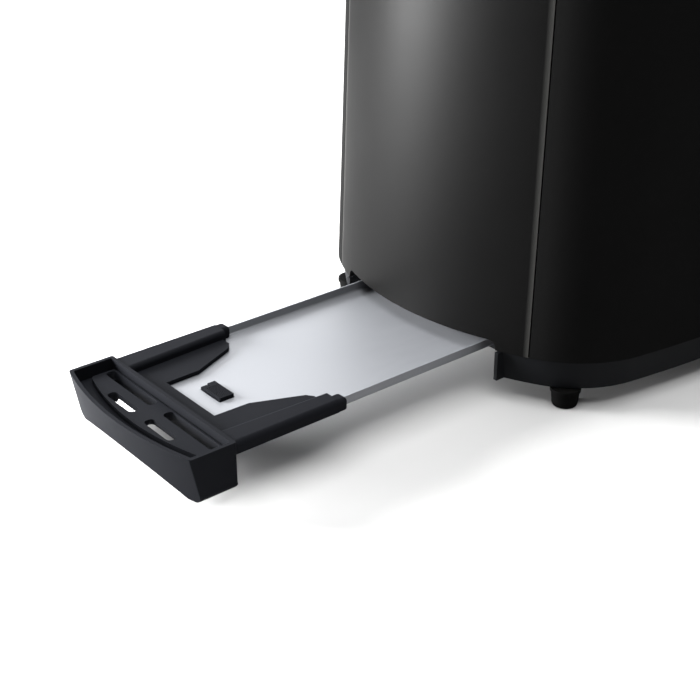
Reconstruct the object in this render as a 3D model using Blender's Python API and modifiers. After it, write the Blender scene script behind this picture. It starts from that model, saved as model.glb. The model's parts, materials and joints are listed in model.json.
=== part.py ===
"""Two-slot pop-up toaster with its crumb tray pulled out. Metres, +Z up, floor at z = 0.

Shapes are worked out in the body's own axes: x = 0 at the middle of the body, the tray at -X,
the lever at +X. An empty carries them all to the row's frame, whose origin is the middle of the
whole toaster's box on the floor.
"""

import math

import bmesh
import bpy
from mathutils import Vector

GAP = 0.0003  # between pieces that touch

# Body shell
BODY_LENGTH = 0.280
BODY_WIDTH = 0.1866
BODY_HEIGHT = 0.195
END_RADIUS = 0.127
SIDE_RADIUS = 0.524
CORNER_RADIUS = 0.0468
WALL = 0.0024
WALL_LEAN = 0.030  # inward, for each metre of height
WALL_BOTTOM = 0.0215
WALL_TOP = 0.178
SHOULDER = 0.011
SEAM_HALF_WIDTH = 0.0586
SEAM_LEAN = 0.012
SEAM_GAP = 0.0005

# Base
BASE_BOTTOM = 0.0083
SKIRT_RECESS = 0.0015
SKIRT_DRAFT = 0.0022
SKIRT_WALL = 0.0022
FLOOR_THICKNESS = 0.0025
FOOT_X = 0.0278  # in from the end of the body
FOOT_Y = 0.0258  # in from the side of the body
FOOT_RADIUS = 0.0053
FOOT_TOP_RADIUS = 0.0063
SCREW_HEAD_RADIUS = 0.0035
SCREW_RADIUS = 0.0016
SCREW_LENGTH = 0.006
SCREW_HEAD_HEIGHT = 0.0017
RIB_WIDTH = 0.0022

# Crumb tray, pulled out by TRAY_PULL
TRAY_PULL = 0.140
HANDLE_WIDTH = 0.0842
HANDLE_DEPTH = 0.0256
HANDLE_FRONT_RADIUS = 0.147
HANDLE_BOTTOM = 0.0050
HANDLE_TOP = 0.0246
HANDLE_DRAFT = 0.0036
HANDLE_RIM = 0.0016
HANDLE_RECESS = 0.0033
HANDLE_ARCH = 0.008
HANDLE_WALL = 0.0018
HANDLE_OPENING = 0.0125  # the rear wall stops this high above the floor, between the ends
HANDLE_END = 0.0026
DECK_SETBACK = 0.0022  # from the handle's rear to the deck's
DECK_DEPTH = 0.0160
DECK_MARGIN = 0.0046  # from the handle's end to the deck's
DECK_FRONT_RADIUS = 0.125
DECK_THICKNESS = 0.0022
DECK_FLOOR = 0.0014  # of the groove round the deck
DECK_SLOTS = ((0.0029, 0.0072, 0.0364), (0.0113, 0.0154, 0.0218))  # near, far, end
DECK_SLOT_START = 0.0042
ARM_LENGTH = 0.0515
ARM_STEP = 0.0045  # the inner part of an arm's rail stops this much short
ARM_STEP_Y = 0.035
ARM_WIDTH = 0.0030
ARM_BOTTOM = 0.0190
ARM_COVER = 0.0013
ARM_ROUND = 0.0020
RAIL_INNER = 0.0315
CROSSBAR = 0.0080
FLANGE_INNER = 0.0162  # half the gap between the two flanges at the crossbar
FLANGE_THICKNESS = 0.0016
PAN_LENGTH = 0.1955
PAN_SHEET = 0.0006
PAN_FLOOR = 0.0182
PAN_RIM = 0.0224
LATCH_DEPTH = 0.0064
LATCH_WIDTH = 0.0128
LATCH_SETBACK = 0.0172
LATCH_TOP = 0.0203
LATCH_ROOT = 0.024  # width of the heel that carries the tongue
TONGUE_THICKNESS = 0.0020
TRAY_CLEARANCE = 0.0010
POCKET_CLEARANCE = 0.0036

# Toasting chamber
END_SPACE = 0.058  # from the end of the body to the chassis plate
CHASSIS_SHEET = 0.0008
CHASSIS_CLEARANCE = 0.006
CHASSIS_TOP = 0.172
SLOT_MARGIN = 0.011
SLOT_WIDTH = 0.030
THROAT_SHEET = 0.0008
THROAT_BOTTOM = 0.166
THROAT_DROP = 0.0015
HEATER_SHEET = 0.0010
HEATER_BOTTOM = 0.042
HEATER_TOP = 0.160
HEATER_TO_REFLECTOR = 0.013
REFLECTOR_SHEET = 0.0006
GUIDE_WIRE = 0.0016
GUIDE_BOTTOM = 0.046
GUIDE_TOP = 0.163
GUIDE_WINDOWS = 8
GUIDE_BAR = 0.0024

# Lift
LEVER_TRAVEL = 0.057
RACK_Z = 0.112
RACK_WIDTH = 0.009
RACK_SHEET = 0.0012
RACK_WEB = 0.011
CARRIAGE_SHEET = 0.0012
CARRIAGE_STANDOFF = 0.0092  # from the chassis plate to the carriage plate
CARRIAGE_HALF_WIDTH_OVER_RACK = 0.006
CARRIAGE_BOTTOM = 0.096
CARRIAGE_TOP = 0.118
ROD_RADIUS = 0.0025
ROD_CLEARANCE = 0.0003
ROD_Y = -0.014
ROD_STANDOFF = 0.0175
BRACKET_Z = 0.150
BRACKET_SHEET = 0.0015
SPRING_Y = 0.014
SPRING_RADIUS = 0.0034
SPRING_WIRE = 0.0005
SPRING_TURNS = 7
ARM_Z = 0.110
LEVER_ARM_HEIGHT = 0.008
LEVER_ARM_WIDTH = 0.0030
LEVER_SLOT_CLEARANCE = 0.002
LEVER_STANDOFF = 0.0015
LEVER_DEPTH = 0.020
LEVER_WIDTH = 0.030
LEVER_HEIGHT = 0.014
KEEPER_SHEET = 0.0025
MAGNET_HALF_WIDTH = 0.010

# Controls on the lever end
BOARD_SETBACK = 0.0245
BOARD_SHEET = 0.0016
BOARD_HALF_WIDTH = 0.046
BOARD_BOTTOM = 0.030
BOARD_TOP = 0.094
CONTROL_Y = 0.032
KNOB_RADIUS = 0.013
KNOB_Z = 0.064
KNOB_LENGTH = 0.020
KNOB_REAR_SETBACK = 0.012
KNOB_CLEARANCE = 0.0006
SHAFT_RADIUS = 0.003
SHAFT_LENGTH = 0.008
BUTTON_WIDTH = 0.020
BUTTON_HEIGHT = 0.009
BUTTON_PITCH = 0.016
BUTTON_LOWEST_Z = 0.050
BUTTON_STAND = 0.0013
BUTTON_CLEARANCE = 0.0003
BUTTON_FLANGE = 0.0015
BUTTON_TRAVEL = 0.003
SWITCH_DEPTH = 0.0023
GLAND_RADIUS = 0.0045
GLAND_BORE = 0.0032
GLAND_Y = 0.038
GLAND_Z = 0.015
GLAND_LENGTH = 0.012

END_STEPS = 4
CORNER_STEPS = 5
SIDE_STEPS = 3
ROUND_STEPS = 24
SMALL_STEPS = 12

OVERRUN = 0.010  # how far a cutter reaches past what it cuts

HALF_LENGTH = BODY_LENGTH / 2
END_CENTRE_X = HALF_LENGTH - END_RADIUS
SIDE_CENTRE_Y = BODY_WIDTH / 2 - SIDE_RADIUS
HANDLE_HALF = HANDLE_WIDTH / 2
ARM_OUTER = HANDLE_HALF - 0.0008
PAN_HALF = ARM_OUTER - ARM_WIDTH - GAP
HANDLE_REAR = -HALF_LENGTH + HANDLE_DEPTH - TRAY_PULL
POCKET_HALF = HANDLE_HALF + POCKET_CLEARANCE
POCKET_TOP = HANDLE_TOP + TRAY_CLEARANCE
CHASSIS_X = HALF_LENGTH - END_SPACE
LEVER_END = HALF_LENGTH + LEVER_STANDOFF + LEVER_DEPTH
ROW_SHIFT = (HALF_LENGTH + TRAY_PULL - LEVER_END) / 2

BLACK_PLASTIC = ("black_plastic", (0.018, 0.018, 0.020), 0.42, 0.0)
SATIN_BLACK = ("satin_black_plastic", (0.020, 0.020, 0.021), 0.33, 0.0)
SHELL_BLACK = ("shell_black_plastic", (0.010, 0.010, 0.010), 0.45, 0.0)
TRAY_PLASTIC = ("tray_plastic", (0.030, 0.031, 0.034), 0.48, 0.0)
TRAY_METAL = ("tray_metal", (0.68, 0.69, 0.71), 0.32, 1.0)
STEEL = ("zinc_plated_steel", (0.56, 0.57, 0.58), 0.35, 1.0)
MICA = ("mica", (0.46, 0.40, 0.30), 0.60, 0.0)
RUBBER = ("rubber", (0.015, 0.015, 0.015), 0.80, 0.0)
KNOB_PLASTIC = ("knob_plastic", (0.028, 0.028, 0.030), 0.38, 0.0)
BOARD_GREEN = ("board_laminate", (0.05, 0.16, 0.07), 0.50, 0.0)


def corner_centre():
    """Centre of the corner arc, which touches the end arc and the side arc."""
    to_end = END_RADIUS - CORNER_RADIUS
    to_side = SIDE_RADIUS - CORNER_RADIUS
    apart = math.hypot(END_CENTRE_X, SIDE_CENTRE_Y)
    along_x, along_y = -END_CENTRE_X / apart, SIDE_CENTRE_Y / apart
    foot = (to_end**2 - to_side**2 + apart**2) / (2 * apart)
    height = math.sqrt(to_end**2 - foot**2)
    return (
        END_CENTRE_X + foot * along_x - height * along_y,
        foot * along_y + height * along_x,
    )


CORNER_X, CORNER_Y = corner_centre()


def plan_outline(inset):
    """The body's outline seen from above, drawn in by inset, counter-clockwise from the lever end."""
    end_turn = math.atan2(CORNER_Y, CORNER_X - END_CENTRE_X)
    side_turn = math.atan2(CORNER_Y - SIDE_CENTRE_Y, CORNER_X)
    arcs = (
        (END_CENTRE_X, 0, END_RADIUS, 0, end_turn, END_STEPS),
        (CORNER_X, CORNER_Y, CORNER_RADIUS, end_turn, side_turn, CORNER_STEPS),
        (0, SIDE_CENTRE_Y, SIDE_RADIUS, side_turn, math.pi / 2, SIDE_STEPS),
    )
    quarter = [(HALF_LENGTH - inset, 0.0)]
    for x, y, radius, start, stop, steps in arcs:
        for i in range(1, steps + 1):
            angle = start + (stop - start) * i / steps
            reach = radius - inset
            quarter.append((x + reach * math.cos(angle), y + reach * math.sin(angle)))
    half = quarter + [(-x, y) for x, y in reversed(quarter[:-1])]
    return half + [(x, -y) for x, y in reversed(half[1:-1])]


def crossing(inset, place, along):
    """Where the outline's first quarter reaches place, counted on the other axis (along: 0 x, 1 y)."""
    points = [p for p in plan_outline(inset) if p[0] > -1e-9 and p[1] > -1e-9]
    for a, b in zip(points, points[1:]):
        low, high = sorted((a[1 - along], b[1 - along]))
        if low <= place <= high and high > low:
            share = (place - a[1 - along]) / (b[1 - along] - a[1 - along])
            return a[along] + share * (b[along] - a[along])
    return points[0][along] if along == 0 else points[-1][along]


def wall_inset(z):
    return WALL_LEAN * max(z - WALL_BOTTOM, 0.0)


def panel_x(y, z):
    """How far out the end panel's outer face is at a height z, y to the side."""
    return crossing(wall_inset(z), abs(y), 0)


def clear_scene():
    for obj in list(bpy.data.objects):
        bpy.data.objects.remove(obj, do_unlink=True)


def collection(name):
    made = bpy.data.collections.new(name)
    bpy.context.scene.collection.children.link(made)
    return made


clear_scene()
PARTS = collection("pop_up_toaster")
CUTTERS = collection("cutters")
CUTTERS.hide_render = True
ROW = bpy.data.objects.new("toaster_frame", None)
ROW.location = (ROW_SHIFT, 0, 0)
PARTS.objects.link(ROW)


def material(finish):
    """The Principled material of one finish: name, colour, roughness, metallic."""
    name, colour, roughness, metallic = finish
    made = bpy.data.materials.get(name) or bpy.data.materials.new(name)
    made.use_nodes = True
    shader = made.node_tree.nodes["Principled BSDF"]
    shader.inputs["Base Color"].default_value = (*colour, 1)
    shader.inputs["Roughness"].default_value = roughness
    shader.inputs["Metallic"].default_value = metallic
    return made


def part(name, shape, finish, at=(0, 0, 0)):
    """A named piece from a bmesh in the body's axes, with its own origin at a point."""
    bmesh.ops.translate(shape, verts=shape.verts, vec=-Vector(at))
    mesh = bpy.data.meshes.new(name)
    shape.to_mesh(mesh)
    shape.free()
    mesh.materials.append(material(finish))
    obj = bpy.data.objects.new(name, mesh)
    PARTS.objects.link(obj)
    obj.parent = ROW
    obj.location = at
    return obj


def helper(name, shape):
    """A cutter or a piece to be joined on: never rendered."""
    mesh = bpy.data.meshes.new(name)
    shape.to_mesh(mesh)
    shape.free()
    obj = bpy.data.objects.new(name, mesh)
    CUTTERS.objects.link(obj)
    obj.parent = ROW
    obj.hide_render = True
    obj.display_type = "WIRE"
    return obj


def boolean(obj, operation, shape, name):
    modifier = obj.modifiers.new(name, "BOOLEAN")
    modifier.operation = operation
    modifier.solver = "EXACT"
    modifier.object = helper(f"{obj.name}_{name}", shape)


def cut(obj, shape, name):
    boolean(obj, "DIFFERENCE", shape, name)


def join(obj, shape, name):
    boolean(obj, "UNION", shape, name)


def keep(obj, shape, name):
    boolean(obj, "INTERSECT", shape, name)


def box(*corners):
    """Boxes given as (low, high) corner pairs, in one bmesh."""
    shape = bmesh.new()
    for low, high in corners:
        low, high = Vector(low), Vector(high)
        made = bmesh.ops.create_cube(shape, size=1)["verts"]
        bmesh.ops.scale(shape, verts=made, vec=high - low)
        bmesh.ops.translate(shape, verts=made, vec=(low + high) / 2)
    return shape


def both_sides(low, high):
    """A box and its mirror image across y = 0, as two corner pairs."""
    return (low, high), ((low[0], -high[1], low[2]), (high[0], -low[1], high[2]))


def plate(outline, low, high, axis="Z"):
    """A flat outline pushed out from low to high along an axis. On X it is given as (y, z)."""
    place = {
        "Z": lambda a, b: Vector((a, b, low)),
        "X": lambda a, b: Vector((low, a, b)),
        "Y": lambda a, b: Vector((a, low, b)),
    }[axis]
    push = {"Z": (0, 0, 1), "X": (1, 0, 0), "Y": (0, 1, 0)}[axis]
    shape = bmesh.new()
    face = shape.faces.new([shape.verts.new(place(a, b)) for a, b in outline])
    made = bmesh.ops.extrude_face_region(shape, geom=[face])["geom"]
    moved = [v for v in made if isinstance(v, bmesh.types.BMVert)]
    bmesh.ops.translate(shape, verts=moved, vec=Vector(push) * (high - low))
    bmesh.ops.recalc_face_normals(shape, faces=shape.faces)
    return shape


def loft(rings, around=False):
    """A skin through rings of equal count, capped, or closed round from the last to the first."""
    shape = bmesh.new()
    rows = [[shape.verts.new(p) for p in ring] for ring in rings]
    follow = rows[1:] + rows[:1] if around else rows[1:]
    for lower, upper in zip(rows, follow):
        for i, vert in enumerate(lower):
            j = (i + 1) % len(lower)
            shape.faces.new((vert, lower[j], upper[j], upper[i]))
    if not around:
        shape.faces.new(rows[0])
        shape.faces.new(rows[-1])
    bmesh.ops.recalc_face_normals(shape, faces=shape.faces)
    return shape


def level(inset, z):
    return [(x, y, z) for x, y in plan_outline(inset)]


def round_bar(radius, centre, start, stop, axis="Z", end_radius=None, steps=ROUND_STEPS):
    """A cylinder or cone along an axis from start to stop, centred on its other two places."""
    shape = bmesh.new()
    bmesh.ops.create_cone(
        shape,
        cap_ends=True,
        segments=steps,
        radius1=radius,
        radius2=radius if end_radius is None else end_radius,
        depth=stop - start,
    )
    a, b = centre
    middle = (start + stop) / 2
    if axis == "X":
        for vert in shape.verts:
            x, y, z = vert.co
            vert.co = (z + middle, y + a, -x + b)
    else:
        bmesh.ops.translate(shape, verts=shape.verts, vec=(a, b, middle))
    return shape


def turned(name, profile, finish, at, axis="Z", steps=ROUND_STEPS):
    """A turned piece: (radius, height) down its outer side, spun by a Screw modifier."""
    shape = bmesh.new()
    verts = [shape.verts.new((radius, 0, height)) for radius, height in profile]
    for a, b in zip(verts, verts[1:]):
        shape.edges.new((a, b))
    mesh = bpy.data.meshes.new(name)
    shape.to_mesh(mesh)
    shape.free()
    mesh.materials.append(material(finish))
    obj = bpy.data.objects.new(name, mesh)
    PARTS.objects.link(obj)
    obj.parent = ROW
    obj.location = at
    if axis == "X":
        obj.rotation_euler = (0, math.pi / 2, 0)
    spin = obj.modifiers.new("spin", "SCREW")
    spin.steps = spin.render_steps = steps
    spin.use_merge_vertices = True
    spin.merge_threshold = 0.00001
    return obj


def seam_wedge(extra, low_x, high_x):
    """The zone of an end panel: a slab between the two seams, which lean in with height."""
    low_z, high_z = WALL_BOTTOM - OVERRUN, WALL_TOP + OVERRUN
    low_y = SEAM_HALF_WIDTH + extra
    high_y = low_y - SEAM_LEAN * (high_z - low_z)
    outline = [(-low_y, low_z), (low_y, low_z), (high_y, high_z), (-high_y, high_z)]
    return plate(outline, low_x, high_x, "X")


def wall_ring():
    """The whole tapered wall, before it is divided at its seams."""
    foot, head = wall_inset(WALL_BOTTOM), wall_inset(WALL_TOP)
    section = (
        (foot, WALL_BOTTOM),
        (head, WALL_TOP),
        (head + WALL, WALL_TOP),
        (foot + WALL, WALL_BOTTOM),
    )
    return loft([level(inset, z) for inset, z in section], around=True)


# ---- the shell

FAR = BODY_LENGTH  # a length that reaches past everything


def make_base():
    """The moulded base: a shallow tub with a pocket for the tray's handle and rails for the tray."""
    low = SKIRT_RECESS + SKIRT_DRAFT
    top = WALL_BOTTOM - GAP
    base = part("base", loft([level(low, BASE_BOTTOM), level(SKIRT_RECESS, top)]), BLACK_PLASTIC)
    floor = BASE_BOTTOM + FLOOR_THICKNESS
    lean = SKIRT_DRAFT / (top - BASE_BOTTOM)
    hollow = [
        level(low + SKIRT_WALL - lean * FLOOR_THICKNESS, floor),
        level(SKIRT_RECESS + SKIRT_WALL - lean * 0.004, top + 0.004),
    ]
    cut(base, loft(hollow), "hollow")
    rear = -HALF_LENGTH + HANDLE_DEPTH
    pocket = ((-FAR, -POCKET_HALF, -OVERRUN), (rear + TRAY_CLEARANCE * 2, POCKET_HALF, POCKET_TOP))
    cut(base, box(pocket), "handle_pocket")
    start = rear + CROSSBAR + TRAY_CLEARANCE * 2
    stop = rear + CROSSBAR + PAN_LENGTH
    side = ARM_OUTER + TRAY_CLEARANCE
    root = floor - 0.001
    guides = both_sides((start, side, root), (stop, side + RIB_WIDTH, HANDLE_TOP - 0.0012))
    join(base, box(*guides), "tray_guides")
    under = PAN_HALF - 0.007
    rests = both_sides((start, under, root), (stop, under + RIB_WIDTH, PAN_FLOOR - GAP))
    join(base, box(*rests), "tray_rests")
    gland = round_bar(GLAND_RADIUS + GAP, (GLAND_Y, GLAND_Z), CHASSIS_X, HALF_LENGTH + OVERRUN, "X",
                      steps=SMALL_STEPS)
    cut(base, gland, "gland_hole")
    for i, (x, y) in enumerate(screw_places()):
        hole = round_bar(SCREW_RADIUS + GAP, (x, y), 0, floor + 0.004, steps=SMALL_STEPS)
        cut(base, hole, f"screw_hole_{i + 1}")


def screw_places():
    x = CHASSIS_X - 0.010
    y = POCKET_HALF + 0.012
    return [(sx * x, sy * y) for sx in (-1, 1) for sy in (-1, 1)]


def make_feet():
    x = HALF_LENGTH - FOOT_X
    y = BODY_WIDTH / 2 - FOOT_Y
    for end, sx in (("tray_end", -1), ("lever_end", 1)):
        for side, sy in (("right", -1), ("left", 1)):
            foot = round_bar(FOOT_RADIUS, (0, 0), 0, BASE_BOTTOM - GAP, "Z", FOOT_TOP_RADIUS,
                             steps=16)
            obj = part(f"foot_{end}_{side}", foot, RUBBER)
            obj.location = (sx * x, sy * y, 0)


def make_screws():
    top = BASE_BOTTOM - GAP
    profile = [
        (0, top + SCREW_LENGTH),
        (SCREW_RADIUS, top + SCREW_LENGTH),
        (SCREW_RADIUS, top),
        (SCREW_HEAD_RADIUS, top),
        (SCREW_HEAD_RADIUS * 0.8, top - SCREW_HEAD_HEIGHT),
        (0, top - SCREW_HEAD_HEIGHT),
    ]
    for i, (x, y) in enumerate(screw_places()):
        turned(f"base_screw_{i + 1}", profile, STEEL, (x, y, 0), steps=10)


def make_tray_end_panel():
    panel = part("tray_end_panel", wall_ring(), SATIN_BLACK)
    keep(panel, seam_wedge(0, -FAR, 0), "zone")
    doorway = ((-FAR, -POCKET_HALF, 0), (0, POCKET_HALF, POCKET_TOP))
    cut(panel, box(doorway), "tray_doorway")


def button_heights():
    return [BUTTON_LOWEST_Z + i * BUTTON_PITCH for i in range(3)]


def make_lever_end_panel():
    panel = part("lever_end_panel", wall_ring(), SATIN_BLACK)
    keep(panel, seam_wedge(0, 0, FAR), "zone")
    half = LEVER_ARM_WIDTH / 2 + LEVER_SLOT_CLEARANCE
    low = ARM_Z - LEVER_ARM_HEIGHT / 2 - LEVER_TRAVEL - LEVER_SLOT_CLEARANCE
    high = ARM_Z + LEVER_ARM_HEIGHT / 2 + LEVER_SLOT_CLEARANCE
    cut(panel, box(((0, -half, low), (FAR, half, high))), "lever_slot")
    hole = round_bar(KNOB_RADIUS + KNOB_CLEARANCE, (-CONTROL_Y, KNOB_Z), 0, FAR, "X")
    cut(panel, hole, "knob_hole")
    across = BUTTON_WIDTH / 2 + BUTTON_CLEARANCE
    up = BUTTON_HEIGHT / 2 + BUTTON_CLEARANCE
    holes = [
        ((0, CONTROL_Y - across, z - up), (FAR, CONTROL_Y + across, z + up))
        for z in button_heights()
    ]
    cut(panel, box(*holes), "button_holes")


def make_side_shells():
    for name, sign in (("side_shell_left", 1), ("side_shell_right", -1)):
        shell = part(name, wall_ring(), SHELL_BLACK)
        cut(shell, seam_wedge(SEAM_GAP, -FAR, FAR), "ends")
        low, high = sorted((0.0, -sign * FAR))
        cut(shell, box(((-FAR, low, 0), (FAR, high, FAR))), "other_side")


def chassis_half_width():
    inset = wall_inset(CHASSIS_TOP) + WALL + CHASSIS_CLEARANCE
    return crossing(inset, CHASSIS_X + CHASSIS_SHEET, 1)


def reflector_y():
    return chassis_half_width() - 0.002


def outer_heater_y():
    return reflector_y() - HEATER_TO_REFLECTOR


def slot_y():
    return outer_heater_y() / 2


def slot_half_length():
    return CHASSIS_X - SLOT_MARGIN


def make_top_cover():
    """The cover over the chassis: a rounded shoulder, a flat top and the two bread slots."""
    start = WALL_TOP + GAP
    rise = BODY_HEIGHT - start
    edge = wall_inset(WALL_TOP)
    outer = [level(edge, start)]
    steps = 4
    for i in range(steps + 1):
        angle = math.pi / 2 * i / steps
        inset = edge + 0.0003 + SHOULDER * (1 - math.cos(angle))
        outer.append(level(inset, start + rise * (0.15 + 0.85 * math.sin(angle))))
    cover = part("top_cover", loft(outer), SATIN_BLACK)
    roof = BODY_HEIGHT - WALL
    hollow = [
        level(edge + WALL, start - 0.004),
        level(edge + WALL, start + rise * 0.3),
        level(edge + WALL + SHOULDER * 0.7, roof),
    ]
    cut(cover, loft(hollow), "hollow")
    slots = [slot_box(sign, 0, BODY_HEIGHT * 0.8, BODY_HEIGHT + OVERRUN) for sign in (-1, 1)]
    cut(cover, box(*slots), "bread_slots")


def slot_box(sign, shrink, low, high):
    x = slot_half_length() - shrink
    y = SLOT_WIDTH / 2 - shrink
    return (-x, sign * slot_y() - y, low), (x, sign * slot_y() + y, high)


def make_throats():
    """Sheet collars that line the bread slots."""
    for name, sign in (("slot_throat_left", 1), ("slot_throat_right", -1)):
        top = BODY_HEIGHT - THROAT_DROP
        collar = part(name, box(slot_box(sign, GAP, THROAT_BOTTOM, top)), STEEL)
        inner = slot_box(sign, GAP + THROAT_SHEET, THROAT_BOTTOM - OVERRUN, top + OVERRUN)
        cut(collar, box(inner), "opening")


# ---- the crumb tray

def bowed_outline(rear, half, depth, radius, inset=0.0, draft=0.0):
    """An outline seen from above: a straight rear edge, straight ends and an arched front."""
    centre = rear - depth + radius
    rear -= inset
    half -= inset
    reach = radius - inset
    steps = 10
    turn = math.asin(half / reach)
    front = []
    for i in range(steps + 1):
        angle = turn - 2 * turn * i / steps
        front.append((centre - reach * math.cos(angle) + draft, reach * math.sin(angle)))
    return [(rear, half)] + front + [(rear, -half)]


def handle_ring(inset, draft, z):
    outline = bowed_outline(
        HANDLE_REAR, HANDLE_HALF, HANDLE_DEPTH, HANDLE_FRONT_RADIUS, inset, draft
    )
    return [(x, y, z) for x, y in outline]


def deck_block(inset, low, high):
    outline = bowed_outline(
        HANDLE_REAR - DECK_SETBACK, HANDLE_HALF - DECK_MARGIN, DECK_DEPTH, DECK_FRONT_RADIUS, inset
    )
    return plate(outline, low, high)


def rail_section(sign):
    """An arm cut across, as (y, z): a rail with a rounded top, over a straight outer side."""
    top = PAN_RIM + GAP + ARM_COVER
    section = [
        (RAIL_INNER, ARM_BOTTOM),
        (RAIL_INNER, top - ARM_ROUND),
        (RAIL_INNER + ARM_ROUND * 0.3, top - ARM_ROUND * 0.3),
        (RAIL_INNER + ARM_ROUND, top),
        (ARM_OUTER - ARM_ROUND, top),
        (ARM_OUTER - ARM_ROUND * 0.3, top - ARM_ROUND * 0.3),
        (ARM_OUTER, top - ARM_ROUND),
        (ARM_OUTER, ARM_BOTTOM),
    ]
    return [(sign * y, z) for y, z in section]


def make_tray_carrier():
    """The handle, the crossbar, the two arms that hold the pan, and the latch hook: one moulding."""
    rings = [handle_ring(0, HANDLE_DRAFT, HANDLE_BOTTOM), handle_ring(0, 0, HANDLE_TOP)]
    carrier = part("tray_carrier", loft(rings), TRAY_PLASTIC)
    deck = HANDLE_TOP - HANDLE_RECESS
    trough = deck - DECK_THICKNESS
    ceiling = trough - DECK_FLOOR
    recess = [handle_ring(HANDLE_RIM, 0, trough), handle_ring(HANDLE_RIM, 0, HANDLE_TOP + 0.003)]
    cut(carrier, loft(recess), "deck_recess")
    slope = HANDLE_DRAFT / (HANDLE_TOP - HANDLE_BOTTOM)
    hollow = [
        handle_ring(HANDLE_WALL, slope * (HANDLE_TOP - z), z) for z in (HANDLE_BOTTOM - 0.002, ceiling)
    ]
    cut(carrier, loft(hollow), "hollow")
    join(carrier, deck_block(0, ceiling + 0.0002, deck), "deck")
    cut(carrier, deck_block(DECK_THICKNESS, ceiling - 0.001, trough), "under_deck")
    slots = [
        pair
        for near, far, end in DECK_SLOTS
        for pair in both_sides(
            (HANDLE_REAR - far, DECK_SLOT_START, 0), (HANDLE_REAR - near, end, HANDLE_TOP + OVERRUN)
        )
    ]
    cut(carrier, box(*slots), "deck_slots")
    span = HANDLE_HALF - 0.006
    radius = (span**2 + HANDLE_ARCH**2) / (2 * HANDLE_ARCH)
    arch = round_bar(radius, (0, HANDLE_BOTTOM + HANDLE_ARCH - radius), HANDLE_REAR - 0.05,
                     HANDLE_REAR - 0.004, "X", steps=64)
    cut(carrier, arch, "underside_arch")
    across = HANDLE_HALF - HANDLE_END
    opening = ((HANDLE_REAR - HANDLE_WALL * 2, -across, 0),
               (HANDLE_REAR + OVERRUN, across, HANDLE_OPENING))
    cut(carrier, box(opening), "rear_opening")
    tip = HANDLE_REAR + ARM_LENGTH
    flange_low = PAN_FLOOR + PAN_SHEET + GAP
    flange_top = flange_low + FLANGE_THICKNESS
    bar = ((HANDLE_REAR - 0.001, -ARM_OUTER, ARM_BOTTOM),
           (HANDLE_REAR + CROSSBAR, ARM_OUTER, flange_top))
    join(carrier, box(bar), "crossbar")
    tongue_top = PAN_FLOOR - GAP
    tongue_low = tongue_top - TONGUE_THICKNESS
    heel = ((HANDLE_REAR - HANDLE_WALL / 2, -LATCH_ROOT / 2, tongue_low),
            (HANDLE_REAR + CROSSBAR - GAP, LATCH_ROOT / 2, flange_low))
    join(carrier, box(heel), "latch_heel")
    for side, sign in (("left", 1), ("right", -1)):
        rail = plate(rail_section(sign), HANDLE_REAR - 0.0005, tip, "X")
        join(carrier, rail, f"rail_{side}")
        outline = [
            (HANDLE_REAR, FLANGE_INNER),
            (HANDLE_REAR + ARM_LENGTH * 0.45, FLANGE_INNER + 0.0004),
            (tip - 0.0080, FLANGE_INNER + 0.0090),
            (tip - 0.0060, FLANGE_INNER + 0.0118),
            (tip - 0.0060, RAIL_INNER + 0.0005),
            (HANDLE_REAR, RAIL_INNER + 0.0005),
        ]
        outline = [(x, sign * y) for x, y in outline]
        join(carrier, plate(outline, flange_low, flange_top), f"flange_{side}")
    notches = both_sides((tip - ARM_STEP, 0.020, 0), (tip + OVERRUN, ARM_STEP_Y, 0.03))
    cut(carrier, box(*notches), "tip_steps")
    pan_front = HANDLE_REAR + CROSSBAR
    under = ((pan_front, -PAN_HALF - GAP, 0), (tip + OVERRUN, PAN_HALF + GAP, flange_low))
    cut(carrier, box(under), "pan_space")
    grooves = both_sides(
        (pan_front, PAN_HALF - PAN_SHEET - GAP, flange_low - 0.001),
        (tip + OVERRUN, PAN_HALF + GAP, PAN_RIM + GAP),
    )
    cut(carrier, box(*grooves), "rim_grooves")
    hook = HANDLE_REAR + LATCH_SETBACK
    half = LATCH_WIDTH / 2
    tongue = ((HANDLE_REAR + CROSSBAR - 0.002, -half, tongue_low),
              (hook + LATCH_DEPTH, half, tongue_top))
    join(carrier, box(tongue), "latch_tongue")
    block = ((hook, -half, tongue_top - 0.001), (hook + LATCH_DEPTH, half, LATCH_TOP))
    join(carrier, box(block), "latch_hook")


def make_pan():
    """The sheet metal pan: a floor, two side rims and a rear rim, with a window for the latch."""
    front = HANDLE_REAR + CROSSBAR + GAP
    stop = front + PAN_LENGTH
    half, sheet, low = PAN_HALF, PAN_SHEET, PAN_FLOOR
    section = [
        (-half, low), (half, low), (half, PAN_RIM), (half - sheet, PAN_RIM),
        (half - sheet, low + sheet), (-half + sheet, low + sheet),
        (-half + sheet, PAN_RIM), (-half, PAN_RIM),
    ]
    pan = part("crumb_tray_pan", plate(section, front, stop, "X"), TRAY_METAL)
    lip = ((stop - sheet, -half + sheet / 2, low + sheet / 2), (stop, half - sheet / 2, PAN_RIM))
    join(pan, box(lip), "rear_lip")
    hook = HANDLE_REAR + LATCH_SETBACK
    across = LATCH_WIDTH / 2 + GAP
    window = ((hook - GAP, -across, 0), (hook + LATCH_DEPTH + GAP, across, 0.03))
    cut(pan, box(window), "latch_window")


# ---- the toasting chamber

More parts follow.
